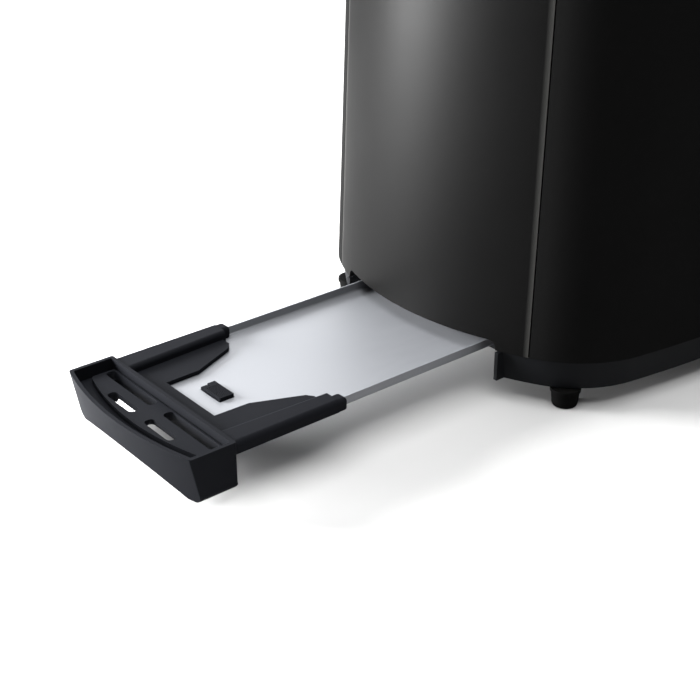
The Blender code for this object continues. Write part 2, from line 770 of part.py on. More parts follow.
def make_chassis():
    half = chassis_half_width()
    low = BASE_BOTTOM + FLOOR_THICKNESS + GAP
    sheet = CHASSIS_SHEET
    arch_top = POCKET_TOP + TRAY_CLEARANCE
    for name, sign in (("chassis_plate_tray_end", -1), ("chassis_plate_lever_end", 1)):
        x0, x1 = sorted((sign * CHASSIS_X, sign * (CHASSIS_X + sheet)))
        panel = part(name, box(((x0, -half, low), (x1, half, CHASSIS_TOP))), STEEL)
        arch = ((x0 - OVERRUN, -POCKET_HALF - 0.002, 0), (x1 + OVERRUN, POCKET_HALF + 0.002, arch_top))
        cut(panel, box(arch), "tray_arch")
        if sign > 0:
            width = RACK_SHEET / 2 + 0.0014
            bottom = RACK_Z - RACK_WEB - LEVER_TRAVEL - 0.002
            slots = [
                ((x0 - OVERRUN, s * slot_y() - width, bottom), (x1 + OVERRUN, s * slot_y() + width,
                                                             RACK_Z + 0.002))
                for s in (-1, 1)
            ]
            cut(panel, box(*slots), "rack_slots")


def make_heaters():
    """Mica cards that hold the heating ribbon, and the bright sheets behind the outer two."""
    reach = CHASSIS_X - GAP
    for name, y in (
        ("heater_card_left", outer_heater_y()),
        ("heater_card_centre", 0),
        ("heater_card_right", -outer_heater_y()),
    ):
        card = ((-reach, -HEATER_SHEET / 2, HEATER_BOTTOM), (reach, HEATER_SHEET / 2, HEATER_TOP))
        part(name, box(card), MICA).location = (0, y, 0)
    for name, sign in (("reflector_left", 1), ("reflector_right", -1)):
        low, high = sorted((sign * reflector_y(), sign * (reflector_y() + REFLECTOR_SHEET)))
        foot = BASE_BOTTOM + FLOOR_THICKNESS + 0.02
        part(name, box(((-reach, low, foot), (reach, high, CHASSIS_TOP))), STEEL)


def guide_offset():
    """From the middle of a slot to a bread guide, standing open."""
    return SLOT_WIDTH / 2 - GUIDE_WIRE / 2


def make_guides():
    """Four wire grids, one on each face of each slice, which close in on the bread."""
    reach = slot_half_length() - 0.001
    pitch = (2 * reach - GUIDE_BAR) / GUIDE_WINDOWS
    for slot, sign in (("left", 1), ("right", -1)):
        for face, out in (("outer", 1), ("inner", -1)):
            y = sign * (slot_y() + out * guide_offset())
            half = GUIDE_WIRE / 2
            grid = box(((-reach, y - half, GUIDE_BOTTOM), (reach, y + half, GUIDE_TOP)))
            obj = part(f"bread_guide_{slot}_{face}", grid, STEEL, (0, y, GUIDE_BOTTOM))
            windows = [
                ((-reach + GUIDE_BAR + i * pitch, y - 0.003, GUIDE_BOTTOM + GUIDE_BAR),
                 (-reach + (i + 1) * pitch, y + 0.003, GUIDE_TOP - GUIDE_BAR))
                for i in range(GUIDE_WINDOWS)
            ]
            cut(obj, box(*windows), "windows")


# ---- the lift

def make_racks():
    """The strips that carry the bread, each on a web that runs out to the carriage."""
    reach = slot_half_length() - 0.003
    carriage = CHASSIS_X + CARRIAGE_STANDOFF - GAP
    for name, sign in (("bread_rack_left", 1), ("bread_rack_right", -1)):
        y = sign * slot_y()
        half = RACK_SHEET / 2
        web = ((-reach, y - half, RACK_Z - RACK_WEB), (carriage, y + half, RACK_Z - half))
        rack = part(name, box(web), STEEL, (0, y, RACK_Z))
        wide = RACK_WIDTH / 2
        strip = ((-reach, y - wide, RACK_Z - RACK_SHEET), (reach, y + wide, RACK_Z))
        join(rack, box(strip), "strip")


def make_carriage():
    """The slider plate, with its bush on the guide rod and its spring hook."""
    x = CHASSIS_X + CARRIAGE_STANDOFF
    half = slot_y() + CARRIAGE_HALF_WIDTH_OVER_RACK
    sheet = CARRIAGE_SHEET
    slab = ((x, -half, CARRIAGE_BOTTOM), (x + sheet, half, CARRIAGE_TOP))
    carriage = part("carriage", box(slab), STEEL, (x, 0, RACK_Z))
    rod_x = CHASSIS_X + ROD_STANDOFF
    bush = ((x + sheet / 2, ROD_Y - 0.006, CARRIAGE_BOTTOM + 0.002),
            (rod_x + 0.006, ROD_Y + 0.006, CARRIAGE_TOP - 0.001))
    join(carriage, box(bush), "bush")
    hook = ((x + sheet / 2, SPRING_Y - 0.005, CARRIAGE_TOP - 0.0025),
            (rod_x + 0.005, SPRING_Y + 0.005, CARRIAGE_TOP - 0.001))
    join(carriage, box(hook), "spring_hook")
    bore = round_bar(ROD_RADIUS + ROD_CLEARANCE, (rod_x, ROD_Y), 0, FAR, steps=SMALL_STEPS)
    cut(carriage, bore, "rod_bore")
    low = BASE_BOTTOM + FLOOR_THICKNESS + GAP
    rod = round_bar(ROD_RADIUS, (rod_x, ROD_Y), low, BRACKET_Z - GAP, steps=SMALL_STEPS)
    part("guide_rod", rod, STEEL)
    start = CHASSIS_X + CHASSIS_SHEET + GAP
    bracket = ((start, ROD_Y - OVERRUN, BRACKET_Z),
               (rod_x + 0.008, SPRING_Y + OVERRUN, BRACKET_Z + BRACKET_SHEET))
    part("rod_bracket", box(bracket), STEEL)


def make_spring():
    """The lift spring, from the carriage's hook up to the bracket."""
    start = CARRIAGE_TOP - 0.001 + GAP + SPRING_WIRE
    stop = BRACKET_Z - GAP - SPRING_WIRE
    curve = bpy.data.curves.new("lift_spring", "CURVE")
    curve.dimensions = "3D"
    curve.bevel_depth = SPRING_WIRE
    curve.bevel_resolution = 1
    curve.use_fill_caps = True
    steps = SPRING_TURNS * SMALL_STEPS
    line = curve.splines.new("POLY")
    line.points.add(steps)
    for i, point in enumerate(line.points):
        angle = 2 * math.pi * i / SMALL_STEPS
        rise = (stop - start) * i / steps
        x, y = SPRING_RADIUS * math.cos(angle), SPRING_RADIUS * math.sin(angle)
        point.co = (x, y, rise, 1)
    obj = bpy.data.objects.new("lift_spring", curve)
    curve.materials.append(material(STEEL))
    PARTS.objects.link(obj)
    obj.parent = ROW
    obj.location = (CHASSIS_X + ROD_STANDOFF, SPRING_Y, start)


def make_lever():
    start = CHASSIS_X + CARRIAGE_STANDOFF + CARRIAGE_SHEET + GAP
    half = LEVER_ARM_WIDTH / 2
    up = LEVER_ARM_HEIGHT / 2
    stop = HALF_LENGTH + LEVER_STANDOFF + LEVER_DEPTH * 0.6
    arm = ((start, -half, ARM_Z - up), (stop, half, ARM_Z + up))
    part("lever_arm", box(arm), STEEL, (start, 0, ARM_Z))
    x = HALF_LENGTH + LEVER_STANDOFF
    grip = plate(lever_outline(x), ARM_Z - LEVER_HEIGHT / 2, ARM_Z + LEVER_HEIGHT / 2)
    bmesh.ops.bevel(
        grip,
        geom=[e for e in grip.edges if abs(e.verts[0].co.z - e.verts[1].co.z) < 1e-6],
        offset=0.002,
        segments=2,
        profile=0.5,
        affect="EDGES",
    )
    knob = part("lever_knob", grip, KNOB_PLASTIC, (x, 0, ARM_Z))
    socket = ((x - OVERRUN, -half - GAP, ARM_Z - up - GAP), (stop + GAP, half + GAP, ARM_Z + up + GAP))
    cut(knob, box(socket), "arm_socket")
    wide = MAGNET_HALF_WIDTH - 0.001
    keeper = ((start, -wide + 0.0002, CARRIAGE_BOTTOM - KEEPER_SHEET - GAP),
              (start + 0.016, wide, CARRIAGE_BOTTOM - GAP))
    part("keeper", box(keeper), STEEL, (start, 0, CARRIAGE_BOTTOM))
    under = CARRIAGE_BOTTOM - KEEPER_SHEET - GAP - LEVER_TRAVEL - GAP
    low = BASE_BOTTOM + FLOOR_THICKNESS + GAP
    magnet = ((start, -MAGNET_HALF_WIDTH, low), (start + 0.018, MAGNET_HALF_WIDTH, under))
    part("electromagnet", box(magnet), BLACK_PLASTIC)


def lever_outline(x):
    """The lever seen from above: a flat rear, sides that run in, and an arched front."""
    half = LEVER_WIDTH / 2
    outline = [(x, -half * 0.8), (x + LEVER_DEPTH * 0.55, -half)]
    steps = 8
    for i in range(1, steps):
        share = -1 + 2 * i / steps
        bulge = LEVER_DEPTH * 0.25 * (1 - share * share)
        outline.append((x + LEVER_DEPTH * 0.75 + bulge, half * share))
    return outline + [(x + LEVER_DEPTH * 0.55, half), (x, half * 0.8)]


# ---- the controls

def make_controls():
    x = HALF_LENGTH - BOARD_SETBACK
    front = x + BOARD_SHEET
    half = BOARD_HALF_WIDTH
    gap = LEVER_ARM_WIDTH / 2 + 0.0035
    bottom = ARM_Z - LEVER_ARM_HEIGHT / 2 - LEVER_TRAVEL - 0.003
    outline = [
        (-half, BOARD_BOTTOM), (half, BOARD_BOTTOM), (half, BOARD_TOP), (gap, BOARD_TOP),
        (gap, bottom), (-gap, bottom), (-gap, BOARD_TOP), (-half, BOARD_TOP),
    ]
    part("control_board", plate(outline, x, front, "X"), BOARD_GREEN)
    rear = HALF_LENGTH - KNOB_REAR_SETBACK
    case = ((front + GAP, -CONTROL_Y - 0.008, KNOB_Z - 0.008),
            (rear - 0.0008, -CONTROL_Y + 0.008, KNOB_Z + 0.008))
    control = part("browning_control", box(case), STEEL)
    shaft = round_bar(SHAFT_RADIUS, (-CONTROL_Y, KNOB_Z), rear - 0.002, rear + SHAFT_LENGTH, "X",
                      steps=SMALL_STEPS)
    join(control, shaft, "shaft")
    depth = SHAFT_LENGTH + GAP
    bore = SHAFT_RADIUS + GAP
    profile = [
        (0, KNOB_LENGTH),
        (KNOB_RADIUS - 0.0012, KNOB_LENGTH),
        (KNOB_RADIUS, KNOB_LENGTH - 0.0012),
        (KNOB_RADIUS, 0),
        (bore, 0),
        (bore, depth),
        (0, depth),
    ]
    turned("browning_knob", profile, KNOB_PLASTIC, (rear, -CONTROL_Y, KNOB_Z), "X")
    names = ("cancel", "reheat", "defrost")
    left, right = CONTROL_Y - BUTTON_WIDTH / 2, CONTROL_Y + BUTTON_WIDTH / 2
    for name, z in zip(names, button_heights()):
        top = z + BUTTON_HEIGHT / 2
        stop = front + GAP + SWITCH_DEPTH
        heel = stop + BUTTON_TRAVEL + GAP
        outline = [
            (heel, left),
            (panel_x(left, z) + BUTTON_STAND, left),
            (panel_x(right, z) + BUTTON_STAND, right),
            (heel, right),
        ]
        cap = part(f"{name}_button", plate(outline, z - BUTTON_HEIGHT / 2, top), KNOB_PLASTIC,
                   (heel, CONTROL_Y, z))
        skirt = 0.0012
        flange = ((heel - 0.0001, left - skirt, z - BUTTON_HEIGHT / 2 - skirt),
                  (heel + BUTTON_FLANGE - 0.0004, right + skirt, top + skirt))
        join(cap, box(flange), "flange")
        switch = ((front + GAP, CONTROL_Y - 0.003, z - 0.003), (stop, CONTROL_Y + 0.003, z + 0.003))
        part(f"{name}_switch", box(switch), BLACK_PLASTIC)
    contacts = ((x - 0.0125, CONTROL_Y - 0.007, BOARD_BOTTOM + 0.006),
                (x - GAP, CONTROL_Y + 0.007, BOARD_BOTTOM + 0.026))
    part("power_switch", box(contacts), BLACK_PLASTIC)
    stop = crossing(SKIRT_RECESS, GLAND_Y, 0) + 0.004
    gland = round_bar(GLAND_RADIUS, (GLAND_Y, GLAND_Z), stop - GLAND_LENGTH, stop, "X",
                      steps=SMALL_STEPS)
    obj = part("cord_gland", gland, RUBBER)
    bore = round_bar(GLAND_BORE, (GLAND_Y, GLAND_Z), stop - 0.02, stop + OVERRUN, "X",
                     steps=SMALL_STEPS)
    cut(obj, bore, "cord_bore")


make_base()
make_feet()
make_screws()
make_tray_end_panel()
make_lever_end_panel()
make_side_shells()
make_top_cover()
make_throats()
make_tray_carrier()
make_pan()
make_chassis()
make_heaters()
make_guides()
make_racks()
make_carriage()
make_spring()
make_lever()
make_controls()
for smooth in PARTS.objects:
    if smooth.type == "MESH":
        smooth.data.shade_smooth()
        smooth.data.set_sharp_from_angle(angle=math.radians(35))
print(len(PARTS.objects) - 1, "pieces")
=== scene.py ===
import json
import math

import bmesh
import bpy
from mathutils import Matrix, Vector


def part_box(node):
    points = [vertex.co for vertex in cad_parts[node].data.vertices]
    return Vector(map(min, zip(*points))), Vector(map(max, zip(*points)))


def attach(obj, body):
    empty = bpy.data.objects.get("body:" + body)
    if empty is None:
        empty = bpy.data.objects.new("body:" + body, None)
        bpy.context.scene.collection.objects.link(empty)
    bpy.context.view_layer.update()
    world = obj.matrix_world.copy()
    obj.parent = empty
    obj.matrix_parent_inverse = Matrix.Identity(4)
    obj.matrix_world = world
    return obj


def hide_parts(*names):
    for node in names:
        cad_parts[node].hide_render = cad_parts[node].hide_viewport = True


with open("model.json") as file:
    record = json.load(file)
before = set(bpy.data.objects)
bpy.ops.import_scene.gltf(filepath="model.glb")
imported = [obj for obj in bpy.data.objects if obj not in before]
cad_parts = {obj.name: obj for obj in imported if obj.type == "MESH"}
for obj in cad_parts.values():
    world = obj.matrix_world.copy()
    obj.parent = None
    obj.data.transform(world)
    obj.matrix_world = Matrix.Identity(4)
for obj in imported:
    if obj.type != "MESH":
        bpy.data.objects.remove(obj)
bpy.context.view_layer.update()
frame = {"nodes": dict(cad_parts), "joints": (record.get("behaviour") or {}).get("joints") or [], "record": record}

cadNodes = frame["nodes"]

# ---- colours, nodes and meshes


def hexColour(code):
    channels = [int(code[i : i + 2], 16) / 255 for i in (1, 3, 5)]
    linear = [c / 12.92 if c <= 0.04045 else ((c + 0.055) / 1.055) ** 2.4 for c in channels]
    return (*linear, 1.0)


def addNode(tree, kind, settings=None, links=None):
    # one node: a setting is an attribute where the node has one of that name, and else an input's value
    node = tree.nodes.new(kind)
    for key, value in (settings or {}).items():
        if isinstance(key, str) and hasattr(node, key):
            setattr(node, key, value)
        else:
            node.inputs[key].default_value = value
    for key, source in (links or {}).items():
        tree.links.new(source, node.inputs[key])
    return node


def newMaterial(name, shaderSettings):
    made = bpy.data.materials.new(name)
    made.use_nodes = True
    tree = made.node_tree
    shader = tree.nodes["Principled BSDF"]
    for key, value in shaderSettings.items():
        shader.inputs[key].default_value = value
    place = addNode(tree, "ShaderNodeTexCoord").outputs["Object"]
    return made, tree, shader, place


def perMillimetre(size):
    # a texture's scale for a feature of this many millimetres, as Object coordinates are in metres
    return 1000 / size


def addObject(name, data):
    made = bpy.data.objects.new(name, data)
    bpy.context.scene.collection.objects.link(made)
    return made


def newPiece(name, bm, material):
    # bm is in the body's own axes: x is 0 at the body's middle
    bmesh.ops.translate(bm, verts=bm.verts, vec=(centreX, 0, 0))
    mesh = bpy.data.meshes.new(name)
    bm.to_mesh(mesh)
    bm.free()
    mesh.materials.append(material)
    return addObject(name, mesh)


def bake(piece):
    # makes the modifiers' result the mesh itself
    graph = bpy.context.evaluated_depsgraph_get()
    mesh = bpy.data.meshes.new_from_object(piece.evaluated_get(graph))
    old = piece.data
    piece.modifiers.clear()
    piece.data = mesh
    bpy.data.meshes.remove(old)


def carve(piece, cutterShape, operation="DIFFERENCE"):
    cutter = newPiece("cutter", cutterShape, piece.data.materials[0])
    modifier = piece.modifiers.new("carve", "BOOLEAN")
    modifier.operation = operation
    modifier.solver = "EXACT"
    modifier.object = cutter
    bake(piece)
    bpy.data.objects.remove(cutter)


def thicken(piece, wall):
    modifier = piece.modifiers.new("wall", "SOLIDIFY")
    modifier.thickness = wall
    modifier.offset = -1
    modifier.use_even_offset = True
    bake(piece)


def soften(piece, radius, segments=3, angle=32):
    # rounds every edge sharper than angle, and evens out the shading
    modifier = piece.modifiers.new("round", "BEVEL")
    modifier.width = radius
    modifier.segments = segments
    modifier.limit_method = "ANGLE"
    modifier.angle_limit = math.radians(angle)
    modifier.harden_normals = False
    bake(piece)
    smooth(piece)


def smooth(piece, angle=35):
    piece.data.shade_smooth()
    piece.data.set_sharp_from_angle(angle=math.radians(angle))
    weighted = piece.modifiers.new("shading", "WEIGHTED_NORMAL")
    weighted.keep_sharp = True


def moved(bm, x, y, z=0):
    bmesh.ops.translate(bm, verts=bm.verts, vec=(x, y, z))
    return bm


def vertsOf(made):
    return [g for g in made if isinstance(g, bmesh.types.BMVert)]


def evenFaces(bm):
    bmesh.ops.recalc_face_normals(bm, faces=bm.faces)


def allOf(bm):
    return list(bm.verts) + list(bm.edges) + list(bm.faces)


def roundEdges(bm, edges, radius, segments):
    bmesh.ops.bevel(
        bm, geom=edges, offset=radius, segments=segments, affect="EDGES", profile=0.5, material=-1
    )


def dress(piece, body, slotName, *nodes):
    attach(piece, body)
    if nodes:
        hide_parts(*nodes)
    return piece


def block(bm, low, high):
    made = bmesh.ops.create_cube(bm, size=1)["verts"]
    size = Vector(high) - Vector(low)
    bmesh.ops.scale(bm, verts=made, vec=size)
    bmesh.ops.translate(bm, verts=made, vec=(Vector(high) + Vector(low)) / 2)
    return made


def blocks(*corners):
    bm = bmesh.new()
    for low, high in corners:
        block(bm, low, high)
    return bm


def roundedBlocks(radius, axis, *corners, segments=5):
    # boxes whose edges along one axis (0, 1 or 2) are rounded
    bm = blocks(*corners)
    along = [e for e in bm.edges if abs((e.verts[0].co - e.verts[1].co)[axis]) > 1e-5]
    roundEdges(bm, along, radius, segments)
    return bm


def bothSides(low, high):
    # a box and its twin across y = 0
    return (low, high), ((low[0], -high[1], low[2]), (high[0], -low[1], high[2]))


def pushedOut(points, low, high, axis=2):
    # a flat outline, given on the two other axes in turn, pushed out along an axis
    bm = bmesh.new()
    verts = []
    for a, b in points:
        place = [a, b]
        place.insert(axis, low)
        verts.append(bm.verts.new(place))
    face = bm.faces.new(verts)
    made = bmesh.ops.extrude_face_region(bm, geom=[face])["geom"]
    step = Vector((0, 0, 0))
    step[axis] = high - low
    bmesh.ops.translate(bm, verts=vertsOf(made), vec=step)
    evenFaces(bm)
    return bm


def turned(profile, steps=48):
    # a profile of (radius, height), turned about the z axis
    bm = bmesh.new()
    verts = [bm.verts.new((radius, 0, height)) for radius, height in profile]
    edges = [bm.edges.new(pair) for pair in zip(verts, verts[1:])]
    bmesh.ops.spin(
        bm, geom=verts + edges, cent=(0, 0, 0), axis=(0, 0, 1), angle=2 * math.pi,
        steps=steps, use_merge=True,
    )
    bmesh.ops.remove_doubles(bm, verts=bm.verts, dist=1e-6)
    evenFaces(bm)
    return bm


def layOnX(bm, place):
    # turns a piece made about z so that its top points along +x, and puts its foot at place
    turn = Matrix.Rotation(math.pi / 2, 3, "Y")
    bmesh.ops.rotate(bm, verts=bm.verts, cent=(0, 0, 0), matrix=turn)
    return moved(bm, *place)


def rod(radius, start, stop, steps=24):
    # a round bar from one point to another
    start, stop = Vector(start), Vector(stop)
    bm = bmesh.new()
    length = (stop - start).length
    bmesh.ops.create_cone(
        bm, cap_ends=True, segments=steps, radius1=radius, radius2=radius, depth=length
    )
    turn = (stop - start).to_track_quat("Z", "Y").to_matrix()
    bmesh.ops.rotate(bm, verts=bm.verts, cent=(0, 0, 0), matrix=turn)
    return moved(bm, *((start + stop) / 2))


# ---- materials

print("materials")

# feature sizes in mm
fineGrain = {
    "mould": 0.55, "orangePeel": 2.2, "smear": 45.0, "streak": 24.0, "flake": 2.5, "heat": 18.0, "ink": 0.4,
}


def addNoise(tree, place, size, detail, roughness=0.5):
    # a cloudy texture whose largest features are size mm across
    settings = {"Scale": perMillimetre(size), "Detail": detail, "Roughness": roughness}
    return addNode(tree, "ShaderNodeTexNoise", settings, {"Vector": place}).outputs["Fac"]


def varyGloss(tree, shader, source, least, most):
    # the roughness follows a texture, whose values gather between 0.3 and 0.7
    settings = {"From Min": 0.3, "From Max": 0.7, "To Min": least, "To Max": most}
    gloss = addNode(tree, "ShaderNodeMapRange", settings, {"Value": source})
    tree.links.new(gloss.outputs["Result"], shader.inputs["Roughness"])


def raiseSkin(tree, shader, source, strength, depth):
    # a texture seen as relief, its depth in metres
    settings = {"Strength": strength, "Distance": depth}
    bump = addNode(tree, "ShaderNodeBump", settings, {"Height": source})
    tree.links.new(bump.outputs["Normal"], shader.inputs["Normal"])


def tintBetween(tree, shader, source, colours, stops=(0.0, 1.0)):
    # the base colour runs between two colours with a texture
    tint = addNode(tree, "ShaderNodeValToRGB", {}, {"Fac": source})
    for element, stop, colour in zip(tint.color_ramp.elements, stops, colours):
        element.position = stop
        element.color = colour
    tree.links.new(tint.outputs["Color"], shader.inputs["Base Color"])


def darker(code, share):
    return (*(channel * share for channel in hexColour(code)[:3]), 1.0)


def mouldedPlastic(name, colour, roughness, specular=0.5, grain=0.12, spread=0.05):
    # ABS, injection moulded against a spark-eroded tool: a dull, even skin with a faint fine grain,
    # drawn coarser than the real 0.1 mm so that it shows
    made, tree, shader, place = newMaterial(
        name, {"Base Color": hexColour(colour), "IOR": 1.53, "Specular IOR Level": specular}
    )
    wiped = addNoise(tree, place, fineGrain["smear"], 4.0, 0.55)
    varyGloss(tree, shader, wiped, roughness - spread, roughness + spread)
    raiseSkin(tree, shader, addNoise(tree, place, fineGrain["mould"], 3.0, 0.6), grain, 0.0001)
    return made


def satinPlastic(name, colour, roughness, specular, seamHighlightColour):
    # ABS with a satin spray coat: smooth and wide in its highlight, with a slow ripple in the coat
    made, tree, shader, place = newMaterial(name, {"IOR": 1.5, "Specular IOR Level": specular})
    wiped = addNoise(tree, place, fineGrain["smear"], 3.0)
    varyGloss(tree, shader, wiped, roughness - 0.02, roughness + 0.03)
    # along the end panels' seams a fine pale line is painted into the coat's colour: a painted highlight standing
    # for the light that the rounded seam edges catch
    paintedSeamHighlight = addNode(tree, "ShaderNodeAttribute", {"attribute_name": "paintedSeamHighlight"}).outputs["Fac"]
    tintBetween(tree, shader, paintedSeamHighlight, (hexColour(colour), hexColour(seamHighlightColour)))
    raiseSkin(tree, shader, addNoise(tree, place, fineGrain["orangePeel"], 2.0), 0.03, 0.0002)
    return made


def rolledSheet(name, colour, roughness, metallic, along=(1.0, 14.0, 14.0)):
    # steel sheet from a rolling mill, with faint streaks along x: the aluminium or zinc coat scatters
    # light, so it reads as pale grey and not as a mirror
    made, tree, shader, place = newMaterial(name, {"Metallic": metallic})
    mapping = addNode(tree, "ShaderNodeMapping", {"Scale": along}, {"Vector": place})
    streaks = addNoise(tree, mapping.outputs["Vector"], fineGrain["streak"], 5.0, 0.65)
    tintBetween(tree, shader, streaks, (darker(colour, 0.93), hexColour(colour)), (0.3, 0.7))
    varyGloss(tree, shader, streaks, roughness - 0.04, roughness + 0.04)
    raiseSkin(tree, shader, streaks, 0.05, 0.0001)
    return made


def micaSheet():
    # phlogopite mica paper: dull gold-brown flakes pressed flat
    made, tree, shader, place = newMaterial("micaPaper", {"Roughness": 0.55, "IOR": 1.58})
    flakes = addNode(
        tree, "ShaderNodeTexVoronoi", {"Scale": perMillimetre(fineGrain["flake"])}, {"Vector": place}
    )
    colours = hexColour("#8d7c5c"), hexColour("#b8a884")
    tintBetween(tree, shader, flakes.outputs["Color"], colours)
    return made


def heatedRibbon():
    # nickel-chrome ribbon, browned by heat along its run
    made, tree, shader, place = newMaterial("nickelChromeRibbon", {"Metallic": 1.0, "Roughness": 0.42})
    heat = addNoise(tree, place, fineGrain["heat"], 2.0)
    tintBetween(tree, shader, heat, (hexColour("#5b4c44"), hexColour("#9b8f86")))
    return made


def printedInk(name, colour):
    # pad-printed ink: flat and dull, a little thin in places
    made, tree, shader, place = newMaterial(name, {"Roughness": 0.55})
    cover = addNoise(tree, place, fineGrain["ink"], 2.0)
    tintBetween(tree, shader, cover, (darker(colour, 0.8), hexColour(colour)))
    return made


# the satin coat's last colour is a painted highlight: a pale line along the end panels' seams standing for light
# caught on their rounded edges
satinShell = satinPlastic("satinBlackCoat", "#060606", 0.42, 0.03, "#272726")
dullShell = mouldedPlastic("dullBlackMoulding", "#0a0a0a", 0.70, specular=0.02, grain=0.05)
basePlastic = mouldedPlastic("blueBlackMoulding", "#0f1012", 0.55, specular=0.05)
trayPlastic = mouldedPlastic("charcoalMoulding", "#101114", 0.60, specular=0.02, grain=0.10)
footRubber = mouldedPlastic("blackRubber", "#080808", 0.75, specular=0.02, grain=0.3)
knobPlastic = mouldedPlastic("semiGlossMoulding", "#141415", 0.30, specular=0.5, grain=0.03)
bakelite = mouldedPlastic("phenolicMoulding", "#1a1715", 0.5, specular=0.4)
boardLaminate = mouldedPlastic("epoxyGlassLaminate", "#1d4a2a", 0.42, specular=0.5, grain=0.2)
panSteel = rolledSheet("aluminisedSteel", "#74767a", 0.50, 0.45)
zincSteel = rolledSheet("zincPlatedSteel", "#b3b5b7", 0.38, 1.0, along=(3.0, 3.0, 3.0))
collarSteel = rolledSheet("satinStainless", "#bfc1c3", 0.30, 1.0)
mica = micaSheet()
ribbonAlloy = heatedRibbon()
paleInk = printedInk("paleGreyInk", "#c9c9c6")

# ---- the body's outline, in plan

print("body outline")

shell = {
    "endRadius": 0.127,
    "sideRadius": 0.524,
    "cornerRadius": 0.0468,
    "lean": 0.030,
    "wall": 0.0024,
    "endSteps": 20,
    "cornerSteps": 18,
    "sideSteps": 12,
    "seamLean": 0.012,
    "seamGap": 0.0005,
    "edge": 0.0005,
}

trayEndLow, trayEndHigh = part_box("tray_end_panel")
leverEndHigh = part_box("lever_end_panel")[1]
centreX = (trayEndLow.x + leverEndHigh.x) / 2
halfLength = (leverEndHigh.x - trayEndLow.x) / 2
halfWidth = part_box("side_shell_left")[1].y
wallBottom = trayEndLow.z
wallTop = trayEndHigh.z
seamHalf = trayEndHigh.y


def inBody(point):
    # a point of the row's frame, in the body's own axes
    return Vector(point) - Vector((centreX, 0, 0))


def cadBoxOf(node):
    low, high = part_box(node)
    return inBody(low), inBody(high)


endCentre = Vector((halfLength - shell["endRadius"], 0, 0))
sideCentre = Vector((0, halfWidth - shell["sideRadius"], 0))


def cornerCentre():
    # where a circle touches both the end arc and the side arc from inside
    toEnd = shell["endRadius"] - shell["cornerRadius"]
    toSide = shell["sideRadius"] - shell["cornerRadius"]
    apart = (sideCentre - endCentre).length
    along = (sideCentre - endCentre) / apart
    foot = (toEnd**2 - toSide**2 + apart**2) / (2 * apart)
    height = math.sqrt(toEnd**2 - foot**2)
    return endCentre + along * foot + Vector((-along.y, along.x, 0)) * height


roundCentre = cornerCentre()
endTurn = math.atan2(roundCentre.y, roundCentre.x - endCentre.x)
sideTurn = math.atan2(roundCentre.y - sideCentre.y, roundCentre.x)
shellArcs = (
    (endCentre, endTurn, shell["endSteps"]),
    (roundCentre, sideTurn - endTurn, shell["cornerSteps"]),
    (sideCentre, math.pi / 2 - sideTurn, shell["sideSteps"]),
)


def outward(x, y):
    # the outline's outward direction next to a point
    spot = Vector((abs(x), abs(y), 0))
    fromCorner = spot - roundCentre
    angle = math.atan2(fromCorner.y, fromCorner.x)
    centre = endCentre if angle < endTurn else sideCentre if angle > sideTurn else roundCentre
    way = (spot - centre).normalized()
    return Vector((math.copysign(way.x, x), math.copysign(way.y, y), 0))


def outlineLoop(bm, inset, height):
    # the whole outline at one height: a point spun round each arc's centre, then mirrored twice
    before = set(bm.verts)
    tip = bm.verts.new((halfLength - inset, 0, height))
    for centre, turn, steps in shellArcs:
        spun = bmesh.ops.spin(
            bm, geom=[tip], cent=centre, axis=(0, 0, 1), angle=turn, steps=steps, use_merge=False
        )
        tip = vertsOf(spun["geom_last"])[0]
    for axis in ("Y", "X"):
        verts = [v for v in bm.verts if v not in before]
        edges = list({e for v in verts for e in v.link_edges})
        bmesh.ops.mirror(bm, geom=verts + edges, matrix=Matrix(), merge_dist=1e-6, axis=axis)
    verts = {v for v in bm.verts if v not in before}
    return [e for e in bm.edges if e.verts[0] in verts and e.verts[1] in verts]


def liftLoop(bm, edges, rise, draw):
    # carries a loop up by rise and in by draw, leaving a band of faces behind it
    made = bmesh.ops.extrude_edge_only(bm, edges=edges)["geom"]
    verts = set(vertsOf(made))
    for vert in verts:
        vert.co -= outward(vert.co.x, vert.co.y) * draw
        vert.co.z += rise
    return [
        g for g in made
        if isinstance(g, bmesh.types.BMEdge) and g.verts[0] in verts and g.verts[1] in verts
    ]


def faceOut(bm):
    # an open skin round the body, turned so that its faces point away from the middle
    evenFaces(bm)
    face = max(bm.faces, key=lambda f: f.calc_center_median().x)
    if face.normal.x < 0:
        bmesh.ops.reverse_faces(bm, faces=bm.faces)


def wallInset(height):
    return shell["lean"] * (height - wallBottom)


def panelX(y, z):
    # the lever end panel's outer face, |y| within its one arc
    reach = shell["endRadius"] - wallInset(z)
    return endCentre.x + math.sqrt(reach**2 - y**2)


def wallSkin():
    bm = bmesh.new()
    edges = outlineLoop(bm, 0, wallBottom)
    liftLoop(bm, edges, wallTop - wallBottom, wallInset(wallTop))
    faceOut(bm)
    return bm


def cutAtSeam(bm, side, extra, keepOutside):
    # side is +1 or -1: the seam's plane stands on y and leans in with height
    normal = Vector((0, side, shell["seamLean"]))
    bmesh.ops.bisect_plane(
        bm, geom=allOf(bm), dist=1e-7,
        plane_co=(0, side * (seamHalf + extra), wallBottom), plane_no=normal,
        clear_inner=keepOutside, clear_outer=not keepOutside,
    )


def endPanel(name, sign):
    bm = wallSkin()
    for side in (1, -1):
        cutAtSeam(bm, side, 0, False)
    bmesh.ops.bisect_plane(
        bm, geom=allOf(bm), dist=1e-7,
        plane_co=(0, 0, 0), plane_no=(sign, 0, 0), clear_inner=True,
    )
    panel = newPiece(name, bm, satinShell)
    thicken(panel, shell["wall"])
    return panel


